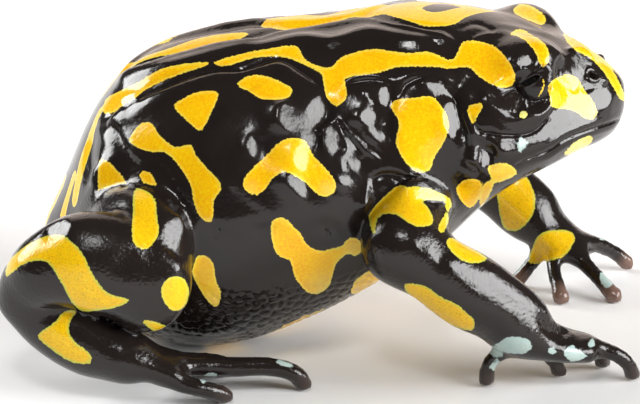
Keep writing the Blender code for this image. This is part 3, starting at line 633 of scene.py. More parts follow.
# The marks that the photograph shows, as outlines in its pixels, by the part of the body that bears them
yellowMarks = {
    "body": (
        ((103, 112), (106, 99), (118, 92), (129, 87), (142, 80), (161, 69), (184, 64), (207, 62), (205, 66),
         (184, 73), (165, 80), (145, 90), (135, 98), (122, 106), (112, 113)),
        ((215, 62), (245, 53), (286, 46), (298, 47), (306, 60), (329, 68), (342, 57), (372, 49), (404, 53),
         (430, 52), (452, 60), (462, 43), (476, 41), (494, 46), (507, 59), (515, 74), (513, 84), (505, 88),
         (491, 84), (476, 74), (468, 67), (445, 69), (440, 67), (399, 67), (378, 73), (349, 77), (345, 83),
         (347, 95), (342, 103), (335, 106), (327, 98), (324, 86), (321, 74), (307, 66), (284, 57), (254, 58),
         (226, 66)),
        ((563, 35), (580, 39), (603, 57), (616, 76), (626, 99), (620, 99), (612, 85), (602, 70), (590, 58),
         (575, 50)),
        ((548, 89), (551, 82), (557, 78), (566, 74.5), (574, 76), (579, 80), (581.5, 85), (586, 92), (593, 101),
         (597, 110.5), (596, 117), (590, 119.5), (583, 117), (576, 112), (566, 109), (557, 108.5), (551, 105.5),
         (550, 97)),
        ((564, 154), (575, 142), (585, 137), (591, 136), (592, 141), (585, 148), (575, 154)),
        ((488, 168), (495, 164), (505, 163), (513, 167), (517, 174), (510, 178), (500, 182), (493, 181)),
        ((456, 188), (463, 181), (472, 179), (480, 181), (482, 190), (478, 200), (471, 208), (463, 203),
         (457, 193)),
        ((485, 183), (494, 182), (489, 196), (481, 207), (480, 197)),
        ((519.2, 114.8), (520.5, 111.8), (523.5, 110.6), (526.7, 111.8), (527.9, 115), (526, 118.2),
         (521.4, 118.2)),
        ((467, 107), (475, 104), (482, 103), (482, 108), (477, 117), (473, 124), (469, 116)),
        ((174, 107), (179, 101), (194, 93), (207, 91), (217, 92), (218, 98), (213, 109), (207, 122), (201, 131),
         (194, 127), (184, 118)),
        ((237, 85), (244, 78), (254, 75), (269, 77), (283, 83), (292, 89), (290, 96), (283, 99), (263, 99),
         (250, 92)),
        ((129, 139), (138, 126), (147, 122), (153, 125), (158, 133), (167, 142), (176, 147), (191, 145),
         (196, 155), (207, 168), (219, 181), (221, 190), (214, 200), (213, 218), (208, 223), (199, 215),
         (194, 203), (191, 187), (184, 173), (173, 159), (164, 152), (153, 152), (141, 149), (132, 144)),
        ((243, 182), (250, 171), (266, 156), (281, 141), (295, 138), (306, 142), (313, 155), (327, 170),
         (335, 181), (335, 191), (326, 197), (316, 193), (307, 184), (295, 176), (284, 172), (273, 178),
         (266, 188), (257, 195), (246, 191)),
        ((271, 224), (277, 218), (286, 219), (293, 226), (300, 233), (307, 244), (314, 249), (321, 251),
         (331, 249), (342, 246), (347, 239), (356, 238), (361, 243), (362, 250), (356, 256), (347, 254),
         (336, 264), (333, 274), (329, 286), (320, 293), (313, 294), (306, 291), (296, 279), (292, 266),
         (290, 260), (283, 258), (276, 253), (272, 241)),
        ((191, 260), (204, 255), (213, 264), (216, 281), (221, 293), (217, 307), (208, 301), (197, 284),
         (192, 272)),
        ((351, 293), (356, 280), (371, 269), (383, 258), (394, 262), (392, 278), (376, 288), (361, 293)),
        ((391, 104), (399, 99), (414, 98), (430, 96), (438, 102), (445, 112), (449, 123), (447, 135),
         (441, 147), (434, 158), (430, 170), (417, 172), (407, 164), (398, 150), (396, 138), (399, 128),
         (398, 119), (392, 110)),
        ((99, 162), (107, 161), (115, 168), (127, 184), (120, 196), (100, 200)),
        ((139, 174), (145, 171), (152, 175), (157, 187), (158, 200), (148, 190)),
        ((447, 211), (449, 218), (447, 225.5), (444, 231.5), (442, 234), (439, 231), (438.5, 226), (441, 221.5),
         (444, 216))),
    "bodyRight": (
        ((510, 34), (520, 29), (532, 35), (543, 42), (548, 50), (549, 60), (543, 67), (539, 62), (535, 52),
         (527, 42), (517, 36)),
        ((542.6, 79.3), (543.9, 80.5), (544.2, 86.5), (542.3, 91.8), (539.2, 96.6), (538.3, 96.1), (541, 91.2),
         (542.8, 86.2))),
    "bodyLeft": (
        ((513, 11), (520, 4), (531, 6), (541, 12), (546, 20), (541, 25), (531, 21), (521, 17)),
        ((563, 34), (580, 36), (603, 54), (616, 73), (626, 99), (620, 99), (612, 85), (602, 70), (590, 58),
         (575, 50))),
    "armRight": (
        ((375, 183.5), (384, 181.5), (391, 183.5), (403, 185.5), (407.5, 187.5), (413.5, 186.5), (421, 187),
         (429, 188.5), (439.5, 192.5), (447, 196.5), (451, 201), (451.5, 206.5), (448, 210), (445, 208),
          (445.5, 202),
         (439.5, 200.5), (431, 200), (423, 201), (426.5, 205.5), (431, 212.5), (433, 218.5), (432, 224),
          (427.5, 226),
         (421, 227), (415, 226), (410.5, 223.5), (406, 221), (401.5, 218), (397.5, 215), (392, 214), (385, 214),
         (380, 216.5), (377, 220), (375.7, 226), (375.7, 234.5), (372, 231), (370, 224), (368.5, 214.5),
          (369, 205.5),
         (370.5, 195.5), (372.5, 188.5)),
        ((447, 211), (449, 218), (447, 225.5), (444, 231.5), (442, 234), (439, 231), (438.5, 226), (441, 221.5),
         (444, 216)),
        ((447, 245), (449, 238), (458, 240), (470, 246), (486, 257), (486, 260), (477, 263), (466, 262),
         (456, 256)),
        ((404, 285), (417, 284), (429, 288), (441, 297), (456, 304), (467, 313), (474, 320), (473, 330),
         (460, 329), (446, 324), (430, 313), (412, 300))),
    "armLeft": (
        ((497, 180), (502, 224), (514, 231), (523, 227), (531, 218), (535, 206), (534, 193), (527, 178),
         (512, 172)),
        ((536, 239), (544, 232), (557, 230), (569, 231), (575, 237), (573, 244), (568, 252), (561, 258),
         (552, 260), (544, 263), (535, 264), (528, 261), (531, 252))),
    "legRight": (
        ((135, 189), (144, 190), (152, 195), (156, 203), (157, 216), (159, 231), (154, 242), (147, 249),
         (139, 248), (133, 241), (132, 228), (133, 211), (133, 200)),
        ((165, 281), (175, 276), (185, 280), (189, 292), (185, 306), (175, 311), (166, 305), (161, 292)),
        ((142, 321), (152, 321), (166, 326), (179, 333), (183, 340), (166, 338), (153, 331)),
        ((6, 277), (8, 262), (19, 251), (32, 242), (47, 236), (61, 235), (71, 241), (82, 253), (89, 267),
         (97, 281), (108, 293), (129, 300), (117, 307), (102, 310), (82, 311), (71, 301), (64, 288), (56, 274),
         (47, 262), (33, 261), (22, 265), (15, 270)),
        ((38, 335), (42, 331), (55, 322), (61, 314), (66, 311), (76, 311), (70, 322), (69, 332), (75, 342),
         (87, 351), (92, 358), (91, 363), (82, 364), (69, 361), (55, 352), (41, 341))),
}
paleMarks = {
    "body": (((521.5, 136.5), (523.5, 139), (526, 140.5), (529.5, 142.5), (528.3, 145.5), (525, 145.6),
              (525, 148.7), (521.8, 148.8), (521.3, 152.5), (518, 153), (516.4, 149.8), (518.8, 147.8),
              (516.5, 146), (516.2, 142.4), (519, 142), (519.6, 139.2)),),
    "armRight": (((489, 349), (494, 345), (501, 350), (503, 356), (497, 358), (491, 355)),
                 ((497, 345), (506, 338), (520, 337), (530, 341), (531, 349), (522, 354), (509, 353),
                  (500, 350)),
                 ((547, 350), (552, 347), (557, 350), (553, 355)),
                 ((564, 352), (572, 345), (578, 350), (587, 355), (583, 359), (570, 361)),
                 ((588, 342), (593, 339), (595, 345), (590, 348)),
                 ((489, 366), (497, 361), (503, 364), (495, 371))),
    "armLeft": (((599, 276), (608, 271), (615, 280), (606, 288)),),
    "legRight": (((200, 379), (206, 374), (214, 373), (218, 377), (209, 379), (204, 383)),
                  ((276, 362), (280, 359), (290, 364), (295, 368), (285, 366))),
}
# The middle stripe of the back, seen from above: x, then its two edges across the body
backStripe = ((-2.75, 0.5, 0.55), (-2.5, 0.1, 0.95), (-2.1, -0.2, 1.25), (-1.0, -0.3, 1.25), (0.5, -0.3, 1.1),
              (1.6, 0.05, 1.9), (2.9, -0.3, 1.6), (3.6, -1.0, 1.2), (4.8, -1.75, 1.5), (6.1, -1.7, 1.4),
              (6.8, -0.85, 1.35), (7.4, -0.15, 1.1), (8.3, 1.0, 1.1))
backLens = ((4.8, -0.1, 0.1), (5.1, -0.5, 0.6), (5.6, -0.45, 1.1), (6.1, -0.05, 1.05), (6.6, 0.5, 0.6))
rearStripe = ((-10.5, 0.6, 0.7), (-10.0, 0.3, 1.0), (-9.4, 0.25, 0.95), (-8.6, -0.1, 0.5), (-7.2, -0.85, -0.3),
              (-5.7, -1.15, -0.1), (-4.4, -1.2, -0.25), (-3.6, -0.95, -0.45), (-3.3, -0.7, -0.65))
# Streaks down the rump: points, and half the width
rumpStreaks = ((((-10.2, -1.2, 11.4), (-11.2, -2.5, 9.3), (-11.6, -3.2, 8.0)), 0.42),
               (((-12.2, -0.3, 7.7), (-13.1, -0.1, 5.4)), 0.45), (((-11.5, -2.0, 8.6), (-12.1, -2.3, 6.8)),
                 0.32),
               (((-9.9, 2.2, 11.5), (-10.9, 3.0, 9.4), (-11.4, 3.0, 8.2)), 0.55),
               (((-11.6, 1.5, 8.6), (-12.4, 1.6, 6.4)), 0.45))
# Pale yellow blotches under the belly and throat: centre x, y, half length, half width, turn
bellyBlotches = ((4.8, -2.2, 1.5, 0.8, 0.5), (4.2, 1.8, 1.2, 0.9, -0.3), (1.8, -0.3, 1.4, 0.8, 0.9),
                 (0.6, 3.2, 1.3, 0.8, 0.2), (-0.9, -3.0, 1.2, 0.7, -0.6), (-2.2, 0.8, 1.1, 0.8, 0.4),
                 (-4.4, -2.6, 1.3, 0.8, 0.3), (-4.8, 3.0, 1.2, 0.9, -0.5), (-6.8, 0.4, 1.0, 1.4, 0.2),
                 (-8.8, -2.2, 1.1, 0.7, 0.8), (-8.9, 2.1, 1.0, 0.7, -0.8), (7.2, 0.9, 0.9, 0.6, 0.4),
                 (10.2, -0.9, 0.9, 0.5, -0.3), (11.9, 1.1, 0.7, 0.5, 0.2))


# How marks are cut: the distance far outside all of them, how they end where the skin turns away from the view
# and where one part meets the next, and how the stripes of the back and the blotches of the belly end
markForm = {"pixelsAway": 18.0, "far": -0.8, "turned": -0.12, "turnedGain": 2.5, "margin": -0.3, "marginGain": 0.8,
            "stripeEnd": 0.1, "up": 0.2, "down": -0.55, "upGain": 3}


def insideBy(pixels, outline):
    # Millimetres inside an outline, negative outside: the least distance to its sides, signed by how often
    # a line to the right crosses them. Points far from the outline are left at a fixed distance outside.
    curve = smoothCurve(outline, closed=True)
    away = markForm["pixelsAway"]
    result = np.full(len(pixels), -away)
    near = np.where(((pixels > curve.min(0) - away) & (pixels < curve.max(0) + away)).all(axis=1))[0]
    x, y = pixels[near, 0], pixels[near, 1]
    least = np.full(len(near), 1e9)
    inside = np.zeros(len(near), bool)
    for (ax, ay), (bx, by) in zip(curve, np.roll(curve, -1, 0)):
        sx, sy = bx - ax, by - ay
        t = np.clip(((x - ax) * sx + (y - ay) * sy) / max(sx * sx + sy * sy, 1e-9), 0, 1)
        least = np.minimum(least, (x - ax - t * sx) ** 2 + (y - ay - t * sy) ** 2)
        crosses = (ay > y) != (by > y)
        inside ^= crosses & (x < ax + (y - ay) * sx / (sy if abs(sy) > 1e-9 else 1e-9))
    least = np.sqrt(least)
    result[near] = np.maximum(np.where(inside, least, -least), -away)
    return result / view["pixelsPerMm"]


# Random drifts by the length of their waves in mm, their seed and their size
drifts = {"marks": (4.0, 7, 0.5), "folds": (4.0, 11, 0.35), "blotches": (1.2, 3, 0.5), "facets": (0.2, 23, 0.2)}
driftWaves, driftStrength = 5, 0.45


def wavyOffset(points, name):
    # A slow random drift: a few sine waves in seeded directions, summed.
    length, seed, size = drifts[name]
    random = np.random.default_rng(seed)
    total = np.zeros((len(points), 3))
    for _ in range(driftWaves):
        wave = points @ (random.normal(size=3) / length) + random.uniform(0, 6.28)
        total += np.sin(wave)[:, None] * random.normal(size=3) * driftStrength
    return total * size


def outlinesOn(points, facing, outlines):
    # The most that a point is inside any of the outlines, less where the skin turns away from the view.
    pixels = toPicture(points)
    best = np.max([insideBy(pixels, outline) for outline in outlines], axis=0)
    return np.minimum(np.maximum(best, markForm["far"]), (facing - markForm["turned"]) * markForm["turnedGain"])


def bandOn(points, stations):
    # How far a point is inside a stripe between two edges that are read off against x.
    rows = smoothCurve(stations)
    x, y = points[:, 0], points[:, 1]
    lower, upper = (np.interp(x, rows[:, 0], rows[:, c]) for c in (1, 2))
    ends = np.minimum(x - rows[0, 0], rows[-1, 0] - x)
    return np.minimum(np.minimum(y - lower, upper - y), ends + markForm["stripeEnd"])


def facingOf(points, normal):
    # The cosine between the skin's direction and the way to the photograph's view point.
    toView = viewPoint - points
    toView /= np.linalg.norm(toView, axis=1)[:, None]
    return (normal * toView).sum(axis=1)


bearers = {"body": ("body",), "armRight": ("armRight",), "armLeft": ("armLeft",),
           "legRight": ("thighRight", "shankRight", "footRight"), "legLeft": ("thighLeft", "shankLeft", "footLeft")}
leftShift = {"armRight": (-1.6, 0, 0), "legRight": (-3.0, 0, 0)}  # the left limbs stand this much further forward


def marginOf(bearer):
    # How much nearer a point is to this part's own form than to any other: marks end smoothly where it is zero.
    own = np.array([name in bearers[bearer] for name in names])
    return distances[~own].min(axis=0) - distances[own].min(axis=0)


def markFields(points, normal, table):
    # The left side carries the same marks mirrored, drifted a little so that no two sides are alike.
    field = np.full(len(points), markForm["far"])
    mirrored = points * flip + wavyOffset(points, "marks")
    mirroredFacing = facingOf(mirrored, normal * flip)
    facing = facingOf(points, normal)
    right, left = points[:, 1] <= 0, points[:, 1] > 0

    def drawn(bearer, use, place, turned, outlines):
        # Adds the outlines to the part's own points, cut where another part begins.
        margin = marginOf(bearer)
        use = use & (margin > markForm["margin"])
        found = np.minimum(outlinesOn(place[use], turned[use], outlines), margin[use] * markForm["marginGain"])
        field[use] = np.maximum(field[use], found)

    for part, outlines in table.items():
        if part in ("body", "bodyRight"):
            drawn("body", right, points, facing, outlines)
        if part == "body":
            drawn("body", left, mirrored, mirroredFacing, outlines)
        if part == "bodyLeft":
            drawn("body", left, points, facing, outlines)
        if part in leftShift:
            drawn(part, right, points, facing, outlines)
            shifted = mirrored + np.array(leftShift[part])
            drawn(part.replace("Right", "Left"), left, shifted, mirroredFacing, outlines)
        if part == "armLeft":
            drawn(part, left, points, facing, outlines)
    return field


def bodyStripes(points, normal, field):
    # Adds the stripes of the back, the streaks of the rump and the belly's blotches, each as a distance inside it.
    here = belongsTo("body")
    up = normal[:, 2]
    top = np.maximum(np.minimum(bandOn(points, backStripe), -bandOn(points, backLens)), bandOn(points, rearStripe))
    top = np.minimum(top, (up - markForm["up"]) * markForm["upGain"])
    found = [top] + [half - segmentDistance(points, np.array(line)) for line, half in rumpStreaks]
    warp = points + wavyOffset(points, "blotches")
    for x, y, long, wide, turn in bellyBlotches:
        dx, dy = warp[:, 0] - x, warp[:, 1] - y
        u, v = dx * math.cos(turn) + dy * math.sin(turn), dy * math.cos(turn) - dx * math.sin(turn)
        blot = (1 - np.hypot(u / long, v / wide)) * wide
        found.append(np.minimum(blot, (markForm["down"] - up) * markForm["upGain"]))
    return np.where(here, np.maximum(field, np.max(found, axis=0)), field)


# How folds end: where the skin turns away from its own view and towards the outline, and at a line's two ends
foldForm = {"turned": -0.1, "fade": (0.0, 0.35), "outline": (0.0, 0.3), "reach": 3, "endShare": 0.35, "taper": 0.8}


def foldedBy(points, normal):
    # Each fold adds its height times a bell curve of the distance to its line, on its own side and mirrored.
    total = np.zeros(len(points))
    here = belongsTo("body")
    facing = facingOf(points, normal)
    mirrored = points * flip + wavyOffset(points, "folds")
    for half, place, turned in ((points[:, 1] <= 0, points, facing),
                                (points[:, 1] > 0, mirrored, facingOf(mirrored, normal * flip))):
        use = np.where(half & here & (turned > foldForm["turned"]))[0]
        pixels = toPicture(place[use])
        weight = smooth(turned[use], *foldForm["fade"]) * smooth(np.abs(facing[use]), *foldForm["outline"])
        for line, width, height in folds.values():
            line = smoothCurve(line)
            reach = foldForm["reach"] * width * view["pixelsPerMm"]
            close = ((pixels > line.min(0) - reach) & (pixels < line.max(0) + reach)).all(axis=1)
            distance = segmentDistance(pixels[close], line) / view["pixelsPerMm"]
            ends = np.minimum(*(np.linalg.norm(pixels[close] - end, axis=1) for end in (line[0], line[-1])))
            taper = smooth(ends / view["pixelsPerMm"], 0.0, foldForm["taper"])
            taper = foldForm["endShare"] + (1 - foldForm["endShare"]) * taper
            total[use[close]] += height * taper * np.exp(-(distance / width) ** 2) * weight[close]
    return total


# Facets: their ragged rims, how the tilt fades at a rim and where the skin turns away, the depth in mm that one may
# span, its largest tilt, and how the heights are worked out from the tilts
facetForm = {"reach": 1.25, "rim": (1.15, 0.95), "seen": 0.05, "seenFade": (0.05, 0.3), "deep": 3, "tilt": 0.7,
             "leastCosine": 0.4, "inset": 11, "leastReach": 2, "calm": 0.07, "firm": 2.0, "held": 0.004,
             "outlineHeld": 2.0, "outline": (0.25, 0.05), "turned": (0.45, 0.2), "rounds": 700, "push": 1.95,
             "around": 12}


def nearestMirror(own, softbox):
    # The direction that mirrors the part of a softbox that this skin is nearest to mirroring already.
    seen = 2 * (own @ viewBack) * own - viewBack
    bearing, height = math.degrees(math.atan2(seen[0], -seen[1])), math.degrees(math.asin(seen[2]))
    reach = [max(math.degrees(math.atan(size / 2 / lampDistance)) - facetForm["inset"], facetForm["leastReach"])
             for size in softbox[2:4]]
    bearing = min(max(bearing, softbox[0] - reach[0]), softbox[0] + reach[0])
    height = min(max(height, softbox[1] - reach[1]), softbox[1] + reach[1])
    way = wayTo(bearing, height) + viewBack
    return way / np.linalg.norm(way)


def facetedBy(points, normal, ends):
    # Inside an ellipse the skin is tilted until it mirrors the softbox. The heights are those whose differences
    # along the mesh's edges come nearest to these tilts, and to nothing outside the ellipses: each point takes,
    # again and again, the weighted mean of what its neighbours ask for.
    share, tilt = np.zeros(len(points)), np.zeros((len(points), 3))
    mirrored = points * flip + wavyOffset(points, "folds")
    body = belongsTo("body")
    aims = {**softboxes, **otherAims}
    facing = facingOf(points, normal)
    outline = np.abs(facing)
    for side, place, turn, back in ((points[:, 1] <= 0, points, normal, (1, 1, 1)),
                                    (points[:, 1] > 0, mirrored, normal * flip, flip)):
        seen = facingOf(place, turn)
        facing = np.where(side, seen, facing)
        pixels = toPicture(place)
        ragged = wavyOffset(place, "facets")[:, :2]
        for group, rows in facets.items():
            limb = group in ("arm", "leg")
            if limb and back is flip:
                continue  # the left limbs stand otherwise
            where = side & (seen > facetForm["seen"]) & (~body if limb else body)
            for row in rows:
                ring = facetRing(pixels + ragged * min(row[2:4]), row)
                close = np.where(where & (ring < facetForm["reach"]))[0]
                if not len(close):
                    continue
                deep = place[close] @ viewBack
                close = close[deep > deep.max() - facetForm["deep"]]
                inside = smooth(ring[close], *facetForm["rim"]) * smooth(seen[close], *facetForm["seenFade"])
                own = turn[close[inside > 0.5]].sum(axis=0)
                if not own.any():
                    continue
                way = nearestMirror(own / np.linalg.norm(own), aims[row[5] if len(row) > 5 else "right"])
                wanted = way / np.maximum(turn[close] @ way, facetForm["leastCosine"])[:, None] - turn[close]
                wanted *= np.minimum(1.0, facetForm["tilt"] / np.linalg.norm(wanted, axis=1))[:, None]
                more = np.maximum(inside - share[close], 0)[:, None]
                tilt[close] += more * wanted * back
                share[close] = np.maximum(share[close], inside)
    active = share > 0
    for _ in range(facetForm["around"]):
        active[ends[active[ends].any(axis=1)].ravel()] = True
    a, b = ends[active[ends].all(axis=1)].T
    count = len(points)

    def summed(atStart, atEnd):
        # What the edges bring to each point from their two ends.
        return np.bincount(a, atStart, count) + np.bincount(b, atEnd, count)

    wished = -((tilt[a] + tilt[b]) * (points[b] - points[a])).sum(axis=1) / 2
    weight = facetForm["calm"] + facetForm["firm"] * (share[a] + share[b]) / 2
    held = facetForm["held"] + (1 - share) * smooth(facing, *facetForm["turned"])
    held += facetForm["outlineHeld"] * smooth(np.minimum(facing, outline), *facetForm["outline"])
    long, one = np.linalg.norm(points[b] - points[a], axis=1), np.ones(len(a))
    held *= (summed(long, long) / np.maximum(summed(one, one), 1) / space["voxel"]) ** 2
    whole = summed(weight, weight) + held + 1e-9
    before = height = np.zeros(count)
    for _ in range(facetForm["rounds"]):
        asked = summed(weight * (height[b] - wished), weight * (height[a] + wished)) / whole
        before, height = height, facetForm["push"] * asked + (1 - facetForm["push"]) * before
    return height


wartForm = {"count": 150, "tries": 450, "spacing": 1.3, "radius": (0.45, 0.85), "height": (0.02, 0.06), "seed": 21,
            "headFrom": 6.5, "headShare": 0.2, "limbShare": 0.5}


def wartsOn(points):
    # Low round warts at seeded places, none too near another: each adds a bell curve of its own height.
    random = np.random.default_rng(wartForm["seed"])
    total = np.zeros(len(points))
    chosen = []
    for index in random.integers(0, len(points), wartForm["tries"]):
        place = points[index]
        if all(np.linalg.norm(place - other) > wartForm["spacing"] for other in chosen):
            chosen.append(place)
            if len(chosen) == wartForm["count"]:
                break
    for place in chosen:
        radius = random.uniform(*wartForm["radius"])
        height = random.uniform(*wartForm["height"])
        height *= 1 if place[0] < wartForm["headFrom"] else wartForm["headShare"]
        near = np.abs(points - place).max(axis=1) < 2.5 * radius
        distance = np.linalg.norm(points[near] - place, axis=1)
        total[near] += height * np.exp(-(distance / radius) ** 2)
    return total


lidForm = {"slit": ((515.5, 87.3), (521, 82.5), (528, 78.5), (534, 75.8), (540.5, 74.8), (537, 79.3), (530.5, 83.6),
                    (523, 86.6)),
           "dome": ((503, 91), (507, 98.5), (513, 104.5), (520, 109), (528, 111.5), (535, 110), (541, 105.5),
                    (546, 99), (549, 91), (549, 84), (546, 77), (541, 72.5), (533, 73), (524, 77), (514, 83)),
           "domeRadius": 1.45, "domeShift": np.array((0.4, 0, 0)), "reach": 2.2, "press": (-0.4, 0.12),
           "bulge": (-0.05, 0.35), "groove": 0.12, "grooveAt": -0.03, "grooveHalf": 0.07,
           "grooveMiddle": 526, "grooveRise": 0.5, "grooveFrom": (94, 102),
           "rim": 0.02, "rimAt": -0.07, "rimHalf": 0.05, "hole": (-0.025, 0.02), "sunk": 0.8}


def shapedLids(points):
    # The lower lid is a smooth dome over the eyeball with a groove below it; inside the slit the skin drops
    # behind the eyeball. Both are outlines in the picture, and the left side is the right one mirrored.
    for side in (1, -1):
        own = points * np.array((1, side, 1))
        offset = own - np.array(eyeForm["centre"]) * flip
        near = np.where((np.linalg.norm(offset, axis=1) < lidForm["reach"]) & (offset @ viewBack > 0))[0]
        offset, pixels = offset[near], toPicture(own[near])
        radius = np.linalg.norm(offset, axis=1)
        along = (offset / radius[:, None]) @ lidForm["domeShift"]
        domed = along + np.sqrt(along ** 2 - (lidForm["domeShift"] ** 2).sum() + lidForm["domeRadius"] ** 2)
        inDome, inSlit = insideBy(pixels, lidForm["dome"]), insideBy(pixels, lidForm["slit"])
        press = np.minimum(domed - radius, 0) * smooth(inDome, *lidForm["press"])
        bulge = np.maximum(domed - radius, 0) * smooth(inDome, *lidForm["bulge"])
        beside = np.abs(pixels[:, 0] - lidForm["grooveMiddle"])
        below = smooth(pixels[:, 1] + lidForm["grooveRise"] * beside, *lidForm["grooveFrom"])
        groove = lidForm["groove"] * below * np.exp(-((inDome - lidForm["grooveAt"]) / lidForm["grooveHalf"]) ** 2)
        change = press + bulge - groove
        change += lidForm["rim"] * np.exp(-((inSlit - lidForm["rimAt"]) / lidForm["rimHalf"]) ** 2)
        hole = smooth(inSlit, *lidForm["hole"])
        change = change * (1 - hole) + hole * (lidForm["sunk"] - radius)
        moved = own[near] + offset / radius[:, None] * change[:, None]
        points = points.copy()
        points[near] = moved * np.array((1, side, 1))
    return points


def cobblesOn(points, normal):
    # Pebbled skin: each point rises with the difference of its distances to the two nearest seeded pebbles.
    share = cobbleShare(points) * belongsTo("body")
    here = np.where(share > cobbleForm["least"])[0]
    random = np.random.default_rng(cobbleForm["seed"])
    seeds = np.zeros((0, 3))
    for index in random.permutation(here)[:cobbleForm["tries"]]:
        if not len(seeds) or (np.abs(seeds - points[index]).max(axis=1) > cobbleForm["spacing"]).all():
            seeds = np.vstack([seeds, points[index]])
    rise = np.zeros(len(points))
    for part in np.array_split(here, max(1, len(here) // cobbleForm["batch"])):
        distance = np.linalg.norm(points[part][:, None] - seeds[None], axis=2)
        two = np.partition(distance, 1, axis=1)[:, :2]
        rise[part] = smooth(two[:, 1] - two[:, 0], 0.0, cobbleForm["edge"]) - 0.5
    return rise * share * cobbleForm["height"] * smooth(normal[:, 2], *cobbleForm["under"])


def nostrilsOn(points):
    # A round hole with a raised ring: a smooth step down, and a bell curve at the rim's distance.
    total = np.zeros(len(points))
    for side in (-1, 1):
        place = np.array(nostrilForm["place"]) * (1, side, 1)
        place = points[np.linalg.norm(points - place, axis=1).argmin()]  # the skin's own point there
        distance = np.linalg.norm(points - place, axis=1)
        outer, inner = (nostrilForm["radius"] * share for share in nostrilForm["hole"])
        total -= nostrilForm["depth"] * smooth(distance, outer, inner)
        rim = (distance - nostrilForm["radius"] * nostrilForm["rimAt"]) / nostrilForm["rimHalf"]
        total += nostrilForm["rim"] * np.exp(-rim ** 2)
    return total


# Soft spots in the photograph's pixels: middle x, y, reach along and down, and share. Yellow turns wan in some,
# and the gloss is softer in the others.
softSpots = {
    "wan": ((523, 114, 9, 9, 1.0), (578, 146, 18, 18, 0.85), (352, 248, 9, 9, 0.3), (500, 172, 14, 14, 0.25),
            (323, 286, 14, 14, 0.25), (596, 112, 9, 9, 0.5), (328, 190, 8, 8, 0.35), (250, 190, 8, 8, 0.25),
            (214, 300, 14, 14, 0.35)),
    "haze": ((288, 142, 75, 62, 1.0), (96, 240, 32, 22, 1.0))}


def spotsOn(points, spots):
    # The largest of the spots' bell curves at each point, seen from its own side.
    pixels = toPicture(onRightSide(points))
    return np.max([share * np.exp(-(((pixels - (x, y)) / (along, down)) ** 2).sum(axis=1))
                   for x, y, along, down, share in spots], axis=0)


# How the skin's forms meet: where limbs begin, how the digits' tips lose the relief and gain their colour,
# how the relief fades at the floor, and where the underside's cream tone begins
skinForm = {"limb": (-0.5, 0.7), "tipColour": (1.0, 0.2), "tipShares": (0.12, 0.9), "paleHandFrom": 5,
            "tipRelief": (0.8, 2.0), "floorRelief": (0.1, 0.7), "underSlope": 0.35, "under": (6.0, 3.0)}
limbShare = smooth(distances[0] - distances[1:].min(axis=0), *skinForm["limb"])
relief = foldedBy(points, normal) + cobblesOn(points, normal) \
    + wartsOn(points) * (1 - wartForm["limbShare"] * limbShare) + nostrilsOn(points)
mesh.vertices.foreach_set("co", (points + normal * relief[:, None]).ravel())
relief += facetedBy(points, normals(mesh), corners)
tips = [digit[-1][:3] for digit in (*rightArm["fingers"], *leftArm["fingers"], *rightLeg["toes"], *leftLeg["toes"])]
tipDistance = np.min([np.linalg.norm(points - np.array(tip), axis=1) for tip in tips], axis=0)
paleHand = (points[:, 1] > 0) & (points[:, 0] > skinForm["paleHandFrom"])
tipShare = smooth(tipDistance, *skinForm["tipColour"]) * np.take(skinForm["tipShares"], paleHand.astype(int))
relief *= smooth(tipDistance, *skinForm["tipRelief"])
relief *= smooth(points[:, 2], *skinForm["floorRelief"])
points = shapedLids(points + normal * relief[:, None])
yellow = bodyStripes(points, normal, markFields(points, normal, yellowMarks))
pale = markFields(points, normal, paleMarks)
yellow = np.where(pale > 0, -pale, yellow)
underShare = smooth(points[:, 2] - skinForm["underSlope"] * points[:, 0], *skinForm["under"]) * belongsTo("body")
mesh.vertices.foreach_set("co", (points * mm).ravel())
mesh.polygons.foreach_set("use_smooth", np.ones(len(mesh.polygons), bool))
skinAttributes = {"yellow": yellow, "pale": pale, "limb": limbShare, "tip": tipShare, "under": underShare,
                  **{name: spotsOn(points, spots) for name, spots in softSpots.items()}}
for name, values in skinAttributes.items():
    mesh.attributes.new(name, "FLOAT", "POINT").data.foreach_set("value", values.astype(np.float32))
mesh.update()
skin = bpy.data.objects.new("skin", mesh)
bpy.context.scene.collection.objects.link(skin)
print(f"skin: shaped, {len(points)} points, {sum(len(f.vertices) - 2 for f in mesh.polygons)} triangles")


def wire(tree, start, end):
    # Joins an output to an input.
    tree.links.new(start, end)


def node(tree, kind, **settings):
    # A node whose sockets and settings are given by name.
    made = tree.nodes.new(kind)
    for name, value in settings.items():
        if name in made.inputs:
            made.inputs[name].default_value = value
        else:
            setattr(made, name, value)
    return made


def maths(tree, operation, a, b=None, c=None, clamp=False):
    # A sum of numbers or outputs, worked out at each point of the surface.
    made = tree.nodes.new("ShaderNodeMath")
    made.operation = operation
    made.use_clamp = clamp
    for socket, value in zip(made.inputs, (a, b, c)):
        if isinstance(value, (int, float)):
            socket.default_value = value
        elif value is not None:
            wire(tree, value, socket)
    return made.outputs[0]


def mixed(tree, share, a, b):
    # The first colour where the share is 0, the second where it is 1.
    made = tree.nodes.new("ShaderNodeMix")
    made.data_type = "RGBA"
    for socket, value in ((made.inputs["Factor"], share), (made.inputs["A"], a), (made.inputs["B"], b)):
        if isinstance(value, (int, float, tuple)):
            socket.default_value = value
        else:
            wire(tree, value, socket)
    return made.outputs["Result"]


def newGroup(name, inputs, outputs):
    # A shader node group with its named sockets, and the nodes at its two ends.
    group = bpy.data.node_groups.new(name, "ShaderNodeTree")
    for label, kind, value in inputs:
        socket = group.interface.new_socket(label, in_out="INPUT", socket_type=kind)
        if value is not None:
            socket.default_value = value
    for label, kind in outputs:
        group.interface.new_socket(label, in_out="OUTPUT", socket_type=kind)
    return group, group.nodes.new("NodeGroupInput"), group.nodes.new("NodeGroupOutput")


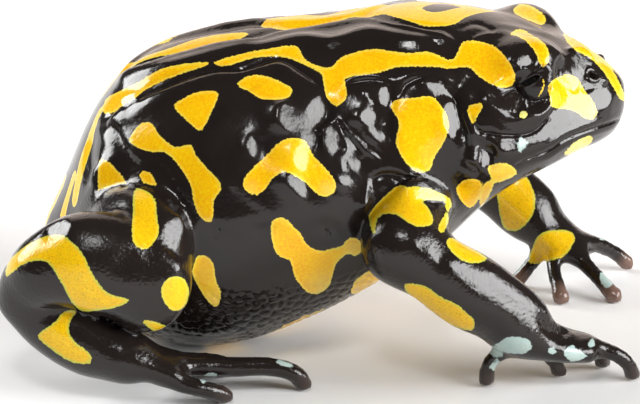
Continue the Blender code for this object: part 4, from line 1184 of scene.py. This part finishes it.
def markEdgeGroup():
    # A mark's mask: its distance field, made ragged by fine noise, cut at zero over a narrow width.
    number = "NodeSocketFloat"
    group, given, made = newGroup("markEdge", (("Distance", number, 0.0), ("Ragged", number, 0.03),
                                              ("Width", number, 0.02), ("Scale", number, 9000.0)),
                                  (("Mask", number),))
    place = node(group, "ShaderNodeTexCoord").outputs["Object"]
    noise = node(group, "ShaderNodeTexNoise", Detail=3.0, Roughness=0.6)
    wire(group, place, noise.inputs["Vector"])
    wire(group, given.outputs["Scale"], noise.inputs["Scale"])
    shift = maths(group, "MULTIPLY", maths(group, "SUBTRACT", noise.outputs["Fac"], 0.5), given.outputs["Ragged"])
    shift = maths(group, "MULTIPLY", shift, 2.0)
    edge = maths(group, "ADD", given.outputs["Distance"], shift)
    edge = maths(group, "DIVIDE", edge, given.outputs["Width"])
    wire(group, maths(group, "ADD", edge, 0.5, clamp=True), made.inputs["Mask"])
    return group


grainScale = {"fine": 6500.0, "swell": 1100.0, "swellShare": 0.6}


def skinGrainGroup():
    # Wet skin's height: fine pebbles from cells, sharp small grain from noise, and broad low swells.
    number = "NodeSocketFloat"
    group, given, made = newGroup("skinGrain", (("Pebbles", number, 0.3), ("Grain", number, 0.3),
                                               ("Scale", number, 5200.0)), (("Height", number),))
    place = node(group, "ShaderNodeTexCoord").outputs["Object"]
    cells = node(group, "ShaderNodeTexVoronoi", feature="SMOOTH_F1", Smoothness=0.4)
    wire(group, place, cells.inputs["Vector"])
    wire(group, given.outputs["Scale"], cells.inputs["Scale"])
    dome = maths(group, "SUBTRACT", 1.0, cells.outputs["Distance"])
    noise = node(group, "ShaderNodeTexNoise", Scale=grainScale["fine"], Detail=3.0, Roughness=0.62)
    wire(group, place, noise.inputs["Vector"])
    swell = node(group, "ShaderNodeTexNoise", Scale=grainScale["swell"], Detail=2.0)
    wire(group, place, swell.inputs["Vector"])
    total = maths(group, "MULTIPLY", dome, given.outputs["Pebbles"])
    total = maths(group, "ADD", total, maths(group, "MULTIPLY", noise.outputs["Fac"], given.outputs["Grain"]))
    total = maths(group, "ADD", total, maths(group, "MULTIPLY", swell.outputs["Fac"], grainScale["swellShare"]))
    wire(group, total, made.inputs["Height"])
    return group


# The skin's colours, its gloss and its bump
skinLook = {"black": (0.0085, 0.0065, 0.006, 1), "blackWarm": (0.020, 0.013, 0.010, 1),
            "yellow": (0.88, 0.52, 0.001, 1), "yellowDeep": (0.84, 0.38, 0.001, 1),
             "lemon": (0.90, 0.66, 0.01, 1),
            "limbYellow": (0.80, 0.51, 0.006, 1), "pepper": (0.30, 0.17, 0.01, 1),
             "pale": (0.47, 0.55, 0.50, 1),
            "green": (0.33, 0.46, 0.45, 1), "tip": (0.22, 0.13, 0.10, 1), "cream": (0.95, 0.66, 0.20, 1),
            "edgeGreen": (0.42, 0.55, 0.08, 1), "rimLemon": (0.98, 0.78, 0.10, 1), "wan": (0.72, 0.74, 0.26, 1),
            "roughness": 0.12, "roughSpread": 0.16, "haze": 0.12, "ior": 1.46, "bump": 0.55,
            "bumpDistance": 0.00003}
# How strongly each tone shows: a pair is its gain and its share where the gain's input is none
skinShare = {"warm": 0.7, "deep": (-0.5, 0.95), "lemon": 0.7, "limbTone": 0.5, "cream": 0.9, "speckFrom": 0.52,
             "speckGain": 7.0, "specks": (0.38, 0.05), "rim": (-0.45, 0.5), "greenLimb": 0.5,
              "greenPatch": 0.25,
             "wan": (0.3, 0.7), "pebbles": (0.3, 0.25), "grain": (0.55, 0.45)}
# The edges of the marks: which marks, how ragged, how wide, moved by how much, and the scale of the ragged noise
markEdges = {"yellow": ("yellow", 0.09, 0.02, 0.0, 9000.0), "rim": ("yellow", 0.12, 0.12, -0.08, 9000.0),
             "pale": ("pale", 0.12, 0.05, 0.0, 5000.0)}
# Each noise's scale and detail, its gain and shift where it is cut into patches, and how strongly it shows
skinNoise = {"broad": (700.0, 3.0), "grainy": (8500.0, 2.0, 5.0, -2.0), "patchy": (420.0, 1.0, 4.0, -1.5),
             "bright": (6000.0, 2.0, 6.0, -3.3), "cream": (1500.0, 3.0), "specks": (13000.0, 2.0),
             "pale": (1200.0, 3.0), "rough": (2500.0, 3.0)}


def newMaterial(name):
    # A material with its node tree and its shader.
    material = bpy.data.materials.new(name)
    material.use_nodes = True
    return material, material.node_tree, material.node_tree.nodes["Principled BSDF"]


def skinMaterial(markEdge, skinGrain):
    # Black with warm patches under yellow marks that are grained, peppered and paler at the rim, and pale spots.
    material, tree, shader = newMaterial("wetSkin")
    attribute = {name: node(tree, "ShaderNodeAttribute", attribute_name=name).outputs["Fac"]
                 for name in skinAttributes}
    place = node(tree, "ShaderNodeTexCoord").outputs["Object"]

    def noise(name):
        # The named noise, and where it has a gain and a shift, that much steeper and moved.
        scale, detail, *steep = skinNoise[name]
        made = node(tree, "ShaderNodeTexNoise", Scale=scale, Detail=detail)
        wire(tree, place, made.inputs["Vector"])
        plain = made.outputs["Fac"]
        return maths(tree, "MULTIPLY_ADD", plain, *steep, clamp=True) if steep else plain

    def edged(name):
        # The mask of the named edge: 1 inside the marks, 0 outside.
        marks, ragged, width, shift, scale = markEdges[name]
        group = node(tree, "ShaderNodeGroup", node_tree=markEdge)
        wire(tree, maths(tree, "ADD", attribute[marks], shift), group.inputs["Distance"])
        group.inputs["Ragged"].default_value = ragged
        group.inputs["Width"].default_value = width
        group.inputs["Scale"].default_value = scale
        return group.outputs["Mask"]

    def shared(name, given):
        # The named share of what is given, or with a pair, its gain times that plus its share where there is none.
        value = skinShare[name]
        if isinstance(value, tuple):
            return maths(tree, "MULTIPLY_ADD", given, *value)
        return maths(tree, "MULTIPLY", given, value)

    black = mixed(tree, shared("warm", noise("broad")), skinLook["black"], skinLook["blackWarm"])
    black = mixed(tree, attribute["tip"], black, skinLook["tip"])
    grainy, patchy = noise("grainy"), noise("patchy")
    deep = maths(tree, "MULTIPLY", grainy, shared("deep", patchy))
    yellow = mixed(tree, deep, skinLook["yellow"], skinLook["yellowDeep"])
    bright = maths(tree, "MULTIPLY", noise("bright"), patchy)
    yellow = mixed(tree, shared("lemon", bright), yellow, skinLook["lemon"])
    yellow = mixed(tree, shared("limbTone", attribute["limb"]), yellow, skinLook["limbYellow"])
    cream = maths(tree, "MULTIPLY", attribute["under"], shared("cream", noise("cream")), clamp=True)
    yellow = mixed(tree, cream, yellow, skinLook["cream"])
    specks = maths(tree, "SUBTRACT", noise("specks"), skinShare["speckFrom"])
    specks = maths(tree, "MULTIPLY", specks, skinShare["speckGain"], clamp=True)
    pepper = maths(tree, "MULTIPLY", specks, shared("specks", attribute["limb"]))
    yellow = mixed(tree, pepper, yellow, skinLook["pepper"])
    rim = maths(tree, "SUBTRACT", 1.0, edged("rim"))
    lemonRim = maths(tree, "MULTIPLY", rim, shared("rim", attribute["limb"]))
    yellow = mixed(tree, lemonRim, yellow, skinLook["rimLemon"])
    greener = maths(tree, "MULTIPLY_ADD", attribute["limb"], skinShare["greenLimb"], shared("greenPatch", patchy))
    yellow = mixed(tree, maths(tree, "MULTIPLY", rim, greener), yellow, skinLook["edgeGreen"])
    wan = maths(tree, "MULTIPLY", attribute["wan"], shared("wan", grainy))
    yellow = mixed(tree, wan, yellow, skinLook["wan"])
    pale = mixed(tree, noise("pale"), skinLook["pale"], skinLook["green"])
    colour = mixed(tree, edged("yellow"), black, yellow)
    colour = mixed(tree, edged("pale"), colour, pale)
    wire(tree, colour, shader.inputs["Base Color"])
    spread = skinLook["roughSpread"]
    rough = maths(tree, "MULTIPLY_ADD", noise("rough"), spread, skinLook["roughness"] - spread / 2)
    wire(tree, maths(tree, "MULTIPLY_ADD", attribute["haze"], skinLook["haze"], rough), shader.inputs["Roughness"])
    shader.inputs["IOR"].default_value = skinLook["ior"]
    grain = node(tree, "ShaderNodeGroup", node_tree=skinGrain)
    wire(tree, shared("pebbles", attribute["limb"]), grain.inputs["Pebbles"])
    wire(tree, shared("grain", attribute["limb"]), grain.inputs["Grain"])
    bump = node(tree, "ShaderNodeBump", Strength=skinLook["bump"], Distance=skinLook["bumpDistance"])
    wire(tree, grain.outputs["Height"], bump.inputs["Height"])
    wire(tree, bump.outputs["Normal"], shader.inputs["Normal"])
    return material


markEdge, skinGrain = markEdgeGroup(), skinGrainGroup()
mesh.materials.append(skinMaterial(markEdge, skinGrain))
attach(skin, "root")
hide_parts(*[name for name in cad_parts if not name.startswith("eye_")])
print("skin: material set")


def gridMesh(name, rings):
    # A closed mesh over rings, its poles closed by fans.
    points = np.concatenate([rings.reshape(-1, 3), [rings[0].mean(axis=0)], [rings[-1].mean(axis=0)]])
    quads, triangles = tubeFaces(*rings.shape[:2])
    made = bpy.data.meshes.new(name)
    made.from_pydata((points * mm).tolist(), [], quads.tolist() + triangles.tolist())
    made.polygons.foreach_set("use_smooth", np.ones(len(made.polygons), bool))
    return made


eyeLook = {"dark": (0.004, 0.004, 0.004, 1), "gold": (0.07, 0.045, 0.02, 1), "fleckScale": 5000.0,
           "fleckFrom": 0.62, "fleckGain": 6.0, "roughness": 0.05}


def eyeMaterial():
    # A dark wet ball with small golden flecks.
    material, tree, shader = newMaterial("wetEye")
    noise = node(tree, "ShaderNodeTexNoise", Scale=eyeLook["fleckScale"], Detail=3.0)
    wire(tree, node(tree, "ShaderNodeTexCoord").outputs["Object"], noise.inputs["Vector"])
    flecks = maths(tree, "SUBTRACT", noise.outputs["Fac"], eyeLook["fleckFrom"])
    flecks = maths(tree, "MULTIPLY", flecks, eyeLook["fleckGain"], clamp=True)
    wire(tree, mixed(tree, flecks, eyeLook["dark"], eyeLook["gold"]), shader.inputs["Base Color"])
    shader.inputs["Roughness"].default_value = eyeLook["roughness"]
    return material


wetEye = eyeMaterial()
for name, side in (("Right", -1), ("Left", 1)):
    x, y, z = eyeForm["centre"]
    made = gridMesh("eyeball" + name, ballTube((x, side * y, z), (eyeForm["radius"],) * 3, eyeForm["rings"],
                                                eyeForm["sides"]))
    eyeball = bpy.data.objects.new("eyeball" + name, made)
    bpy.context.scene.collection.objects.link(eyeball)
    made.materials.append(wetEye)
    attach(eyeball, "root")
    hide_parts("eye_" + name.lower())
print("eyes: set")


stageForm = {"half": 1.5, "paper": (0.9, 0.9, 0.9, 1), "paperRoughness": 0.9, "world": (1, 1, 1, 1),
             "worldStrength": 0.09, "lampAim": (0, 0, 0.008)}


def floorAndLight():
    # A pale sheet under the animal, a faint even light, and the softboxes round it, each turned to face it.
    mesh, half = bpy.data.meshes.new("floor"), stageForm["half"]
    mesh.from_pydata([(-half, -half, 0), (half, -half, 0), (half, half, 0), (-half, half, 0)], [], [(0, 1, 2, 3)])
    floor = bpy.data.objects.new("floor", mesh)
    bpy.context.scene.collection.objects.link(floor)
    paper, _, shader = newMaterial("palePaper")
    shader.inputs["Base Color"].default_value = stageForm["paper"]
    shader.inputs["Roughness"].default_value = stageForm["paperRoughness"]
    mesh.materials.append(paper)
    world = bpy.data.worlds.new("studio")
    world.use_nodes = True
    world.node_tree.nodes["Background"].inputs["Color"].default_value = stageForm["world"]
    world.node_tree.nodes["Background"].inputs["Strength"].default_value = stageForm["worldStrength"]
    bpy.context.scene.world = world
    for name, (bearing, height, width, depth, power, tint) in softboxes.items():
        way = Vector(wayTo(bearing, height))
        light = bpy.data.lights.new("softbox" + name.capitalize(), "AREA")
        light.shape = "RECTANGLE"
        light.size, light.size_y = width, depth
        light.energy = power
        light.color = tint
        lamp = bpy.data.objects.new(name, light)
        lamp.location = way * lampDistance + Vector(stageForm["lampAim"])
        lamp.visible_camera = False
        lamp.rotation_euler = way.to_track_quat("Z", "Y").to_euler()
        bpy.context.scene.collection.objects.link(lamp)


lensForm = {"sensor": 36, "clip": (0.005, 10)}


def photographCamera():
    # A lens whose length over the sensor's width is the view's distance in pixels over the picture's width.
    lens = bpy.data.cameras.new("photographLens")
    camera = bpy.data.objects.new("photographCamera", lens)
    bpy.context.scene.collection.objects.link(camera)
    camera.location = Vector(viewPoint) * mm
    camera.rotation_euler = Vector(viewBack).to_track_quat("Z", "Y").to_euler()
    lens.sensor_width = lensForm["sensor"]
    lens.lens = lensForm["sensor"] * view["distance"] * view["pixelsPerMm"] / view["width"]
    lens.clip_start, lens.clip_end = lensForm["clip"]
    bpy.context.scene.camera = camera


floorAndLight()
photographCamera()
bpy.context.scene.view_settings.view_transform = "Standard"
print("floor, lights and camera: set")
